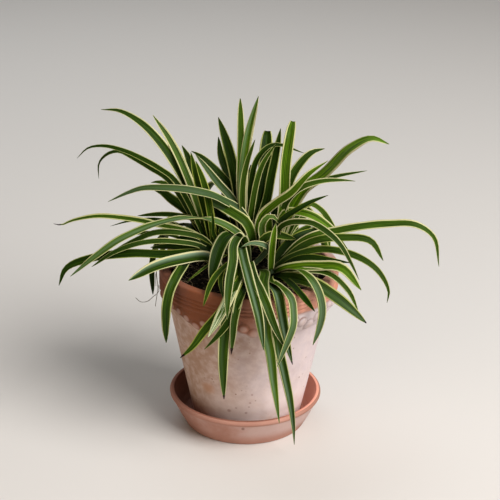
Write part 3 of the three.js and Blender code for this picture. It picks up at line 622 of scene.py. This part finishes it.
def blade_ring(at, along, across, half, ripple):
    """A blade's section, set square to its course and rippled at its margins."""
    places, lifts, unders = blade_section()
    up = along.cross(across)
    side_ripple = np.where(places < 0, ripple[0], ripple[1]) * places ** 2
    height = 2 * half * BLADE_KEEL * lifts - BLADE_THICK * unders * min(1, half / THIN_BELOW)
    height = height + BLADE_RIPPLE * side_ripple * min(1, half / CALM_BELOW)
    return at + places[:, None] * half * np.array(across) + height[:, None] * np.array(up)


def blade_values(look, stations, length):
    """What the leaf's material reads at each point of a blade with this look."""
    places = blade_section()[0]
    gleam = np.exp(-((places - look["gleam"]) / look["spread"]) ** 2)[None, :]
    started = smooth(stations, look["start"], look["start"] + PAINTED_SHEEN_RISE)[:, None]
    return {
        "across": places + look["lean"],
        "along": stations[:, None],
        "distance": (stations * length)[:, None],
        "tone": look["tone"],
        # Painted sheen, strongest about its place across, fading in from its start along the blade.
        "painted_sheen": look["painted_sheen"] * gleam * started,
        "stripes": look["stripes"] * smooth(stations, *STRIPES_RISE)[:, None],
        "cream": look["cream"],
        "ivory": look["ivory"],
        # Painted shade toward the root, fading out where the look's root ends.
        "shade": ROOT_SHADE_SHARE * (1 - smooth(stations, ROOT_SHADE_FROM, look["root"]))[:, None],
    }


def blade(skin, crown, row, chance):
    """One blade, from its crown along the curve through its points."""
    width, turn, end, look_name, through, *burnt = row
    look = {**PLAIN_LOOK, **LOOKS[look_name]}
    points = [Vector((*crown, BLADE_ROOT_Z)), *(Vector(p) for p in through)]
    dense = curve_through(points)
    steps = np.array([0] + [(b - a).length for a, b in zip(dense, dense[1:])]).cumsum()
    length = steps[-1]
    dense = np.array(dense)
    tangents = np.gradient(dense, steps, axis=0)
    stations = np.linspace(0, 1, max(FEWEST_STEPS, math.ceil(length / BLADE_STEP)) + 1)
    sideways = Vector((math.copysign(1, points[0].y - points[-1].y), 0, 0))
    waves = [(chance.uniform(*RIPPLE_LENGTHS), chance.uniform(0, TURN)) for _ in range(2)]
    seed = chance.random()
    rings = []
    for s in stations:
        at = np.array([np.interp(s * length, steps, dense[:, k]) for k in range(3)])
        along = Vector([np.interp(s * length, steps, tangents[:, k]) for k in range(3)]).normalized()
        across = FACE.cross(along) if turn == TOWARD else sideways
        across = (across - along * across.dot(along)).normalized()
        roll = np.interp(s, *zip(*look["roll"]))
        across = Matrix.Rotation(math.radians(roll), 3, along) @ across
        ripple = [math.sin(s * length / wave * TURN + phase) for wave, phase in waves]
        rings.append(blade_ring(at, along, across, width * blade_width(s, end) / 2, ripple))
    skin.loft(rings, burn=sum(burnt), seed=seed, **blade_values(look, stations, length))


def sheath(skin, crown):
    """The overlapping leaf bases at a rosette's heart, as one fluted body."""
    heights = [
        *np.linspace(CROWN_FOOT_Z, CROWN_NECK_Z - 6, 3),
        *np.linspace(CROWN_NECK_Z - 5, CROWN_TOP_Z, 10),
    ]
    radii = np.interp(
        heights, [CROWN_FOOT_Z, CROWN_NECK_Z, CROWN_TOP_Z], [CROWN_R, CROWN_R, CROWN_TOP_R])
    rings = turned(list(zip(radii, heights)), CROWN_SIDES)
    flute = 1 - FLUTE_DEPTH * np.abs(np.sin(FLUTES / 2 * angles(CROWN_SIDES)))
    rings[..., :2] *= flute[None, :, None]
    rings[..., 0] += crown[0]
    rings[..., 1] += crown[1]
    skin.loft(rings, **SHEATH_LOOK)


def rosette(name, crown, blades, material):
    skin = Skin(*SHEATH_LOOK)
    chance = random.Random(name)
    sheath(skin, crown)
    for row in blades:
        blade(skin, crown, row, chance)
    return skin.piece(name + "_blades", material, "leaf", name)


# Pot

def cove_radius(z):
    left = np.clip((COVE_TOP_Z - z) / (COVE_TOP_Z - COVE_FOOT_Z), 0, None)
    return COVE_FOOT_R + COVE_DEPTH * (1 - left * left)


def swag_height(t):
    """Height of the garland's middle line at t from -1 to 1 between two of its ends."""
    return SWAG_TOP_Z - SWAG_DROP * (1 - abs(t)) ** SWAG_POINT


def relief(angle, z):
    """How far the garland stands out of the cove, and where its grooves take dirt and painted shade."""
    out = np.zeros(np.broadcast(angle, z).shape)
    near = np.zeros(out.shape)
    for swag in range(SWAGS):
        for i in range(-LOBES_EACH_SIDE, LOBES_EACH_SIDE):
            t = i / LOBES_EACH_SIDE
            centre = SWAG_TURN + (swag + t / 2) * TURN / SWAGS
            offset = (angle - centre + math.pi) % TURN - math.pi
            lobe = LOBE_R - LOBE_SHRINK * abs(t)
            sideways = offset * cove_radius(swag_height(t)) / lobe
            away = sideways ** 2 + ((z - swag_height(t)) / lobe) ** 2
            out = np.maximum(out, LOBE_DEPTH * np.clip(1 - away, 0, None) ** LOBE_DOME)
            near = np.maximum(near, 1 - smooth(np.sqrt(away), 1.0, GROOVE_REACH))
    return out, near * (1 - smooth(out, 0, GROOVE_TOP * LOBE_DEPTH))


def garland_edge(angle):
    """Height of the garland's lower edge."""
    t = 2 * (((angle - SWAG_TURN) / (TURN / SWAGS) + 0.5) % 1) - 1
    return swag_height(np.abs(t)) - LOBE_R + LOBE_SHRINK * np.abs(t)


def pot_outside():
    foot_z = POT_FOOT_Z + POT_HEEL
    side_z = np.linspace(foot_z, COVE_FOOT_Z - 1.5, 24)
    side_r = np.interp(
        side_z, [foot_z, POT_BELLY[1], COVE_FOOT_Z], [POT_FOOT_R, POT_BELLY[0], COVE_FOOT_R])
    cove_z = np.linspace(COVE_FOOT_Z, COVE_TOP_Z, 25)
    ridge_z = np.linspace(FIRST_RIDGE_Z, FIRST_RIDGE_Z + RIDGES * RIDGE_STEP, 6 * RIDGES + 1)
    groove = 0.5 - 0.5 * np.cos((ridge_z - FIRST_RIDGE_Z) / RIDGE_STEP * TURN)
    return [
        (DRAIN_R, POT_FOOT_Z),
        *corner((POT_FOOT_R - POT_HEEL, foot_z), POT_HEEL, -90, -12),
        *zip(side_r, side_z),
        *zip(cove_radius(cove_z), cove_z),
        (cove_radius(COVE_TOP_Z), RIM_LEDGE_Z - 1),
        (RIM_R - RIDGE_DEPTH, RIM_LEDGE_Z),
        (RIM_R - 0.2, RIM_LEDGE_Z + 0.7),
        *zip(RIM_R - RIDGE_DEPTH * groove, ridge_z),
        (RIM_R, FIRST_RIDGE_Z + RIDGES * RIDGE_STEP + 1.4),
        (RIM_R, RIM_TOP_Z - 2 * RIM_ROUND),
        *corner((RIM_R - RIM_ROUND, RIM_TOP_Z - RIM_ROUND), RIM_ROUND, 0, 90),
        *corner((MOUTH_R + RIM_ROUND, RIM_TOP_Z - RIM_ROUND), RIM_ROUND, 90, 180),
    ]


def pot_inside():
    return [
        *between((MOUTH_R, RIM_TOP_Z - 2 * RIM_ROUND), (MOUTH_R - MOUTH_TAPER, RIM_LEDGE_Z), 5),
        *POT_INNER_FACE,
        (DRAIN_R, POT_FLOOR_Z),
    ]


def pot(material):
    outside = pot_outside()
    rings = turned([*outside, *pot_inside()], POT_SIDES)
    angle = angles(POT_SIDES)
    z = rings[:, :, 2]
    radius = np.hypot(rings[..., 0], rings[..., 1])
    out = np.zeros(z.shape)
    grooves = np.zeros(z.shape)
    shown = len(outside)
    out[:shown], grooves[:shown] = relief(angle[None, :], z[:shown])
    grown = (radius + out) / radius
    rings[..., :2] *= grown[..., None]
    raw = smooth(z - garland_edge(angle)[None, :], -RAW_SOFT, RAW_SOFT)
    skin = Skin("raw", "relief", "grooves")
    skin.loft(rings, loop=True, raw=raw, relief=out / LOBE_DEPTH, grooves=grooves)
    return skin.piece("pot_wall", material, "pot_clay", "pot")


# Saucer

def saucer(material):
    bead = LIP_BEAD / 2
    foot = (SAUCER_BASE_R, SAUCER_HEEL)
    low, high = SAUCER_OUTSIDE
    neck = (LIP_NECK_R, LIP_TOP_Z - LIP_BEAD - LIP_NECK_GAP)
    outer = [
        (SAUCER_BASE_R - SAUCER_HEEL, 0),
        (SAUCER_BASE_R - 0.3 * SAUCER_HEEL, 0.3 * SAUCER_HEEL),
        *between(foot, low, 6),
        *between(low, high, 6),
        *between(high, neck, 4),
        neck,
        *corner((LIP_R - bead, LIP_TOP_Z - bead), bead, -60, 90, 12),
    ]
    inner_high, inner_low = SAUCER_INSIDE
    floor_edge = (SAUCER_FLOOR_R, SAUCER_FLOOR_Z)
    inner = [
        *corner((LIP_INNER_R + LIP_ROUND, LIP_TOP_Z - LIP_ROUND), LIP_ROUND, 90, 180, 4),
        *between((LIP_INNER_R, LIP_TOP_Z - LIP_ROUND - 1), inner_high, 6),
        *between(inner_high, inner_low, 6),
        *between(inner_low, floor_edge, 4),
        floor_edge,
        (SAUCER_FLOOR_R / 2, SAUCER_FLOOR_Z),
    ]
    rings = turned(outer + inner, SAUCER_SIDES)
    rings[..., 0] += SAUCER_X
    inside = np.zeros(len(rings))
    inside[len(outer) - INSIDE_LIP_RINGS:] = 1
    skin = Skin("inside")
    skin.loft(rings, inside=inside[:, None])
    return skin.piece("saucer_dish", material, "saucer_clay", "saucer")


# Soil

def soil_height(x, y):
    share = math.hypot(x, y) / SOIL_R
    a, b, c, d = LUMP_WAVES
    lumps = math.sin(a * x + 1) * math.cos(b * y) + 0.6 * math.sin(c * x - d * y)
    return SOIL_Z + SOIL_MOUND * (1 - share * share) + SOIL_LUMP * lumps * (1 - share / 2)


def soil_bed(skin):
    floor_z = POT_FLOOR_Z + SOIL_OVER_FLOOR
    walls = [(r - SOIL_CLEARANCE, max(z, floor_z)) for r, z in reversed(POT_INNER_FACE)]
    top = [(SOIL_R * share, SOIL_Z) for share in np.linspace(1, 0.02, SOIL_RINGS)]
    rings = turned([*walls, *top], SOIL_SIDES)
    for ring in rings[len(walls):]:
        for point in ring:
            crumbs = noise.fractal(Vector((point[0], point[1], 0)) * CRUMB_SCALE, 0.7, 2.2, 3)
            point[2] = soil_height(point[0], point[1]) + CRUMB_LIFT * crumbs
    skin.loft(rings, pale=0.0)


def scattered(chance, least, within):
    """A random place on the soil, outside a share of its area and within a share of its radius."""
    r = SOIL_R * math.sqrt(chance.uniform(least, 1)) * within
    angle = chance.uniform(0, TURN)
    return r * math.cos(angle), r * math.sin(angle)


def chip(skin, chance):
    """One crumb of bark or peat, a squashed ball with a rough skin."""
    x, y = scattered(chance, 0, CHIPS_WITHIN)
    size = chance.choice(CHIP_SIZES)
    flat = chance.uniform(*CHIP_FLATNESS)
    turn = chance.uniform(0, TURN)
    rings = []
    for lift, share in CHIP_RINGS:
        ring = []
        z = soil_height(x, y) + CHIP_LIFT + lift * size
        for j in range(CHIP_SIDES):
            a = j * TURN / CHIP_SIDES + turn
            reach = size * share * chance.uniform(*CHIP_ROUGHNESS)
            ring.append((x + reach * math.cos(a), y + flat * reach * math.sin(a), z))
        rings.append(ring)
    skin.loft(rings, pale=chance.choice(CHIP_PALENESS))


def fibre(skin, chance):
    """A dry root hair that lies over the soil."""
    x, y = scattered(chance, FIBRES_FROM, FIBRES_WITHIN)
    heading = chance.uniform(0, TURN)
    reach = chance.uniform(*FIBRE_R)
    rings = []
    for i in range(FIBRE_STEPS):
        heading += chance.uniform(-FIBRE_BEND, FIBRE_BEND)
        x += FIBRE_STEP * math.cos(heading)
        y += FIBRE_STEP * math.sin(heading)
        held = min(1, SOIL_R * FIBRES_HELD / math.hypot(x, y))
        x, y = x * held, y * held
        z = soil_height(x, y) + FIBRE_LIFT + FIBRE_ARCH * math.sin(math.pi * i / (FIBRE_STEPS - 1))
        side = Vector((-math.sin(heading), math.cos(heading), 0)) * reach
        rings.append([
            (x + side.x, y + side.y, z),
            (x, y, z + reach),
            (x - side.x, y - side.y, z),
            (x, y, z - reach),
        ])
    skin.loft(rings, pale=chance.uniform(0.5, 1.0))


def soil(material):
    skin = Skin("pale")
    chance = random.Random(11)
    soil_bed(skin)
    for _ in range(SOIL_CHIPS):
        chip(skin, chance)
    for _ in range(SOIL_FIBRES):
        fibre(skin, chance)
    return skin.piece("soil_mix", material, "soil", "soil")


# Dry strands

def strand(skin, through):
    dense = np.array(curve_through([Vector(p) for p in through]))[::STRAND_STEPS]
    heading = np.gradient(dense, axis=0)
    turns = angles(STRAND_SIDES)
    rings = []
    for at, along in zip(dense, heading):
        side = Vector(along).cross(Vector((0.2, 1, 0.1))).normalized()
        over = Vector(along).cross(side).normalized()
        rings.append([Vector(at) + STRAND_R * (side * math.cos(a) + over * math.sin(a)) for a in turns])
    skin.loft(rings)


def strands(material):
    skin = Skin()
    for through in STRANDS:
        strand(skin, through)
    return skin.piece("dry_strands", material, "leaf")


# Materials

class Paint:
    """The nodes of one material."""

    def __init__(self, name, roughness):
        self.material = bpy.data.materials.new(name)
        self.material.use_nodes = True
        self.tree = self.material.node_tree
        self.shader = self.tree.nodes["Principled BSDF"]
        self.shader.inputs["Roughness"].default_value = roughness
        self.where = self.add("ShaderNodeTexCoord", {}).outputs["Object"]

    def add(self, kind, given, **settings):
        """A new node with its settings, each given value linked to its socket or set on it."""
        node = self.tree.nodes.new(kind)
        for setting, choice in settings.items():
            setattr(node, setting, choice)
        for socket, value in given.items():
            if isinstance(value, bpy.types.NodeSocket):
                self.tree.links.new(value, node.inputs[socket])
            else:
                node.inputs[socket].default_value = value
        return node

    def value(self, kind):
        return self.add("ShaderNodeAttribute", {}, attribute_name=kind).outputs["Fac"]

    def work(self, operation, *values):
        return self.add("ShaderNodeMath", dict(enumerate(values)), operation=operation).outputs[0]

    def times(self, first, second, plus=0.0):
        return self.work("MULTIPLY_ADD", first, second, plus)

    def slope(self, value, low, high, start=0.0, end=1.0):
        """Start below low, end above high, smooth between."""
        given = dict(enumerate((value, low, high, start, end)))
        return self.add("ShaderNodeMapRange", given, interpolation_type="SMOOTHSTEP").outputs[0]

    def mix(self, share, first, second):
        """From the first colour at 0 to the second at 1, and past it above 1."""
        first, second = ((*c, 1) if isinstance(c, tuple) else c for c in (first, second))
        given = {0: share, 6: first, 7: second}
        return self.add("ShaderNodeMix", given, data_type="RGBA", clamp_factor=False).outputs[2]

    def tint(self, colour, mask, strength, over):
        """Lays one more colour over where the mask is 1, at part strength."""
        return self.mix(self.times(mask, strength), colour, over)

    def place(self, x, y, z):
        return self.add("ShaderNodeCombineXYZ", {"X": x, "Y": y, "Z": z}).outputs[0]

    def axes(self):
        return self.add("ShaderNodeSeparateXYZ", {"Vector": self.where}).outputs

    def cloud(self, scale, detail=4.0, vector=None, roughness=0.55):
        given = {"Vector": vector or self.where, "Scale": scale, "Detail": detail, "Roughness": roughness}
        return self.add("ShaderNodeTexNoise", given).outputs["Fac"]

    def specks(self, scale, size):
        """1 inside small round spots, 0 between them."""
        away = self.add("ShaderNodeTexVoronoi", {"Vector": self.where, "Scale": scale}).outputs["Distance"]
        return self.slope(away, size * 0.5, size, 1.0, 0.0)

    def spot(self, x, z, radius, ragged):
        """1 round a place on the viewer's side, given by x and height, with a soft ragged edge."""
        across, away, up = self.axes()
        ends = {0: self.place(across, 0.0, up), 1: (x * MM, 0, z * MM)}
        distance = self.add("ShaderNodeVectorMath", ends, operation="DISTANCE").outputs["Value"]
        reach = self.times(ragged, radius * MM, plus=distance)
        round_it = self.slope(reach, 0.8 * radius * MM, 1.4 * radius * MM, 1.0, 0.0)
        return self.times(round_it, self.slope(away, 0.0, -0.01))

    def bump(self, height, strength, distance):
        given = {"Height": height, "Strength": strength, "Distance": distance}
        normal = self.add("ShaderNodeBump", given).outputs["Normal"]
        self.tree.links.new(normal, self.shader.inputs["Normal"])

    def colour(self, value):
        self.tree.links.new(value, self.shader.inputs["Base Color"])


GREENS = ((0.006, 0.018, 0.001), (0.055, 0.118, 0.004))
VEIN_GREENS = ((0.020, 0.054, 0.004), (0.110, 0.205, 0.006))
DARK_VEIN = (0.004, 0.012, 0.002)
# The painted sheen: a pale grey-green highlight, standing in for light glinting on the blades.
PAINTED_SHEEN = (0.145, 0.220, 0.135)
STRIPE = (0.58, 0.66, 0.42)
# Margin creams from dull to pale: the dull one is partly painted shade on margins out of the light.
CREAMS = ((0.27, 0.30, 0.03), (0.58, 0.55, 0.31))
CREAM_VEIN = (0.20, 0.26, 0.04)
ROOT_SHADE = (0.008, 0.016, 0.003)
BURNT = (0.016, 0.008, 0.008)


def leaf_material():
    paint = Paint("leaf", 0.36)
    paint.shader.inputs["Specular IOR Level"].default_value = 0.04
    across = paint.value("across")
    tone = paint.value("tone")
    distance = paint.value("distance")
    seed = paint.times(paint.value("seed"), 40.0)
    streaks = paint.cloud(
        1.0, 3.0, paint.place(paint.times(across, 8.0), paint.times(distance, 0.03), seed))
    broad = paint.cloud(
        1.0, 2.0, paint.place(paint.times(across, 1.6), paint.times(distance, 0.018), seed))
    light_vein = paint.slope(streaks, 0.5, 0.66)
    dark_vein = paint.slope(streaks, 0.5, 0.36)

    side = paint.work("ABSOLUTE", across)
    inner = paint.work("SUBTRACT", 1.0, paint.value("cream"))
    edge = paint.work("ADD", inner, paint.times(broad, 0.26, plus=-0.13))
    margin = paint.slope(side, paint.work("SUBTRACT", edge, 0.05), paint.work("ADD", edge, 0.05))
    fringe = paint.slope(side, paint.work("SUBTRACT", edge, 0.3), edge)

    lit = paint.mix(tone, *VEIN_GREENS)
    green = paint.mix(tone, *GREENS)
    green = paint.tint(green, light_vein, 0.75, lit)
    green = paint.tint(green, dark_vein, 0.7, DARK_VEIN)
    green = paint.tint(green, fringe, 0.3, lit)
    # Painted sheen: the pale highlight, laid in patches where each blade's look puts it.
    green = paint.tint(green, paint.value("painted_sheen"), paint.slope(broad, 0.3, 0.65, 0.45, 1.0), PAINTED_SHEEN)
    green = paint.tint(green, paint.value("stripes"), paint.slope(streaks, 0.46, 0.56), STRIPE)
    cream = paint.mix(paint.value("ivory"), *CREAMS)
    cream = paint.tint(cream, dark_vein, 0.5, CREAM_VEIN)

    colour = paint.mix(margin, green, cream)
    # Painted shade in the heart of the rosette, toward each blade's root.
    colour = paint.mix(paint.value("shade"), colour, ROOT_SHADE)
    burnt = paint.slope(paint.work("ADD", paint.value("along"), paint.value("burn")), 1.0, 1.008)
    paint.colour(paint.mix(burnt, colour, BURNT))
    ribs = paint.work("SINE", paint.times(across, 28.0))
    paint.bump(paint.times(ribs, 0.4, plus=streaks), 0.4, 0.0003)
    return paint.material


# Painted light and shade: from the side away from the window, darker, to the side toward it, lighter.
CHALKS = ((0.365, 0.22, 0.15), (0.57, 0.475, 0.485))
RAW_CLAYS = ((0.20, 0.056, 0.017), (0.57, 0.24, 0.15))
CHALK_GRAIN = (0.72, 0.60, 0.56)
PAINTED_LIGHT_LOW = (0.76, 0.63, 0.60)
OCHRE = (0.50, 0.27, 0.14)
RAW_MOTTLE = (0.13, 0.045, 0.025)
GROOVE_DIRT_AND_SHADE = (0.20, 0.085, 0.045)
CHALKED_AND_LIT_CREST = (0.66, 0.48, 0.42)
PIT = (0.20, 0.085, 0.055)
OCHRE_MARK = (0.46, 0.19, 0.07)
SMUDGE = (0.24, 0.12, 0.08)
DOT = (0.28, 0.12, 0.09)
CRUST = (0.44, 0.40, 0.40)


def pot_material():
    paint = Paint("pot_clay", 0.88)
    x, y, z = paint.axes()
    mottle = paint.cloud(28.0, 6.0)
    fine = paint.cloud(160.0, 4.0)
    stain = paint.cloud(11.0, 5.0, roughness=0.65)
    # Painted light and shade: how far a point lies toward the window side of the pot.
    toward_light = paint.slope(paint.times(x, 7.0, plus=mottle), 0.15, 0.85)

    chalk = paint.mix(toward_light, *CHALKS)
    chalk = paint.tint(chalk, paint.slope(fine, 0.35, 0.7), 0.35, CHALK_GRAIN)
    # Painted light: pale patches low on the pot's left, lifting the shade there.
    painted_light_low = paint.times(paint.slope(z, 0.065, 0.02), paint.slope(stain, 0.3, 0.55, 0.6, 1.0))
    painted_light_low = paint.times(painted_light_low, paint.slope(x, -0.045, -0.01))
    chalk = paint.tint(chalk, painted_light_low, 0.75, PAINTED_LIGHT_LOW)
    chalk = paint.tint(chalk, paint.slope(stain, 0.56, 0.72), 0.5, OCHRE)

    raw = paint.mix(toward_light, *RAW_CLAYS)
    raw = paint.tint(raw, paint.slope(mottle, 0.48, 0.62), 0.6, RAW_MOTTLE)
    rim = paint.slope(z, COVE_TOP_Z * MM, (RIM_LEDGE_Z + 2) * MM)
    bare_rim = paint.times(rim, paint.slope(stain, 0.35, 0.6, 0.85, 1.0))
    bare_left = paint.slope(paint.times(mottle, 1.6, plus=paint.times(x, -14.0)), 0.35, 0.9)
    bare = paint.work("MAXIMUM", bare_left, bare_rim)
    colour = paint.mix(paint.times(paint.value("raw"), bare), chalk, raw)

    # Dirt and painted shade in the grooves round the lobes.
    dirt_and_shade = paint.times(paint.value("grooves"), paint.slope(mottle, 0.42, 0.56, 0.3, 0.9))
    colour = paint.mix(dirt_and_shade, colour, GROOVE_DIRT_AND_SHADE)
    # Paler lobe crests: chalk, and a painted highlight where the lobes catch the light.
    colour = paint.tint(colour, paint.slope(paint.value("relief"), 0.5, 0.95), 0.42, CHALKED_AND_LIT_CREST)
    pits = paint.times(paint.specks(190.0, 0.2), paint.slope(fine, 0.5, 0.62))
    colour = paint.tint(colour, pits, 0.75, PIT)
    colour = paint.tint(colour, paint.spot(*POT_OCHRE, mottle), 0.35, OCHRE_MARK)
    smudge = paint.times(paint.spot(*POT_SMUDGE, fine), paint.slope(fine, 0.4, 0.6))
    colour = paint.tint(colour, smudge, 0.7, SMUDGE)
    for dot in POT_DOTS:
        colour = paint.tint(colour, paint.spot(*dot, fine), 0.5, DOT)
    back_right = paint.times(paint.slope(x, 0.015, 0.04), paint.slope(y, -0.005, 0.02))
    crusted = paint.times(back_right, paint.times(rim, paint.slope(mottle, 0.35, 0.6)))
    paint.colour(paint.tint(colour, crusted, 0.85, CRUST))
    paint.bump(paint.times(mottle, 0.6, plus=fine), 0.4, 0.0007)
    return paint.material


SAUCER_CLAYS = ((0.33, 0.14, 0.095), (0.53, 0.285, 0.22))
SAUCER_ENDS = (0.22, 0.08, 0.045)
SAUCER_BLOOM = (0.57, 0.43, 0.40)
# Inside the saucer: damp clay darkened further with painted shade, and painted light on the window side.
DAMP_AND_SHADED_CLAYS = ((0.16, 0.06, 0.035), (0.33, 0.13, 0.08))
LIT_INSIDE = (0.72, 0.32, 0.23)
SAUCER_SPOT = (0.17, 0.075, 0.05)


def saucer_material():
    paint = Paint("saucer_clay", 0.86)
    x, _, z = paint.axes()
    mottle = paint.cloud(34.0, 6.0)
    fine = paint.cloud(170.0, 4.0)
    clay = paint.mix(mottle, *SAUCER_CLAYS)
    clay = paint.tint(clay, paint.slope(paint.work("ABSOLUTE", x), 0.02, 0.055), 0.6, SAUCER_ENDS)
    body = paint.times(paint.slope(z, 0.0218, 0.0206), paint.slope(z, 0.002, 0.014))
    grain = paint.times(mottle, 0.9, plus=paint.times(fine, 0.4))
    bloom = paint.slope(paint.times(x, 9.0, plus=grain), 0.2, 0.85)
    colour = paint.tint(clay, paint.times(body, bloom), 0.68, SAUCER_BLOOM)
    # Inside: damp clay with painted shade, and painted light toward the window side.
    damp_and_shade = paint.mix(mottle, *DAMP_AND_SHADED_CLAYS)
    damp_and_shade = paint.mix(paint.slope(x, 0.02, 0.055), damp_and_shade, LIT_INSIDE)
    colour = paint.mix(paint.value("inside"), colour, damp_and_shade)
    paint.colour(paint.tint(colour, paint.spot(*SAUCER_MARK, fine), 0.7, SAUCER_SPOT))
    paint.bump(paint.times(mottle, 0.6, plus=fine), 0.3, 0.0005)
    return paint.material


def soil_material():
    paint = Paint("soil", 0.95)
    paint.shader.inputs["Specular IOR Level"].default_value = 0.05
    fine = paint.cloud(420.0, 4.0)
    peat = paint.mix(fine, (0.003, 0.0025, 0.002), (0.020, 0.014, 0.010))
    paint.colour(paint.mix(paint.value("pale"), peat, (0.30, 0.22, 0.13)))
    paint.bump(fine, 0.6, 0.0006)
    return paint.material


def strand_material():
    paint = Paint("dry_strand", 0.8)
    paint.colour(paint.mix(paint.cloud(90.0), (0.035, 0.035, 0.014), (0.15, 0.12, 0.06)))
    paint.bump(paint.cloud(900.0), 0.4, 0.0002)
    return paint.material


# Stage

def floor():
    mesh = bpy.data.meshes.new("floor")
    corners = [(x * FLOOR_REACH, y * FLOOR_REACH, 0) for x, y in ((-1, -1), (1, -1), (1, 1), (-1, 1))]
    mesh.from_pydata(corners, [], [(0, 1, 2, 3)])
    paint = Paint("floor", 0.9)
    paint.shader.inputs["Base Color"].default_value = FLOOR_COLOUR
    mesh.materials.append(paint.material)
    made = put("floor", mesh)
    made.location.z = FLOOR_Z


def softbox(name, place, side, power, colour):
    data = bpy.data.lights.new(name, "AREA")
    data.shape = "RECTANGLE"
    data.size = side
    data.size_y = side
    data.energy = power
    data.color = colour
    lamp = put(name, data)
    lamp.location = place
    lamp.rotation_euler = (LIGHTS_AIM - Vector(place)).to_track_quat("-Z", "Y").to_euler()


def lights():
    for name, row in LIGHTS.items():
        softbox(name, *row)
    world = bpy.data.worlds.new("room")
    world.use_nodes = True
    room = world.node_tree.nodes["Background"]
    room.inputs["Color"].default_value = ROOM_COLOUR
    room.inputs["Strength"].default_value = ROOM_LIGHT
    bpy.context.scene.world = world


def camera():
    data = bpy.data.cameras.new("camera")
    data.lens = LENS
    data.sensor_width = SENSOR
    made = put("camera", data)
    level = Matrix.Rotation(math.pi / 2 - LOOKS_DOWN, 4, "X")
    made.matrix_world = Matrix.Translation(EYE) @ level @ Matrix.Rotation(LEANS, 4, "Z")
    bpy.context.scene.camera = made


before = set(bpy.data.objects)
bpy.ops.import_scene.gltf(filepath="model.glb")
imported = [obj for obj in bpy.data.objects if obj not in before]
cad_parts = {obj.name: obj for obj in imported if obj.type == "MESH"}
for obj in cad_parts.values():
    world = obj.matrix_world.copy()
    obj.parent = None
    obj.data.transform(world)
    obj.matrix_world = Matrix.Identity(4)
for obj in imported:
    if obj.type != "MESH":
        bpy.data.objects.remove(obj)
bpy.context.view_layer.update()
camera()
floor()
lights()
bpy.context.scene.view_settings.view_transform = "Standard"

leaf = leaf_material()
for name, (crown, blades) in ROSETTES.items():
    rosette(name, crown, blades, leaf)
pot(pot_material())
saucer(saucer_material())
soil(soil_material())
strands(strand_material())
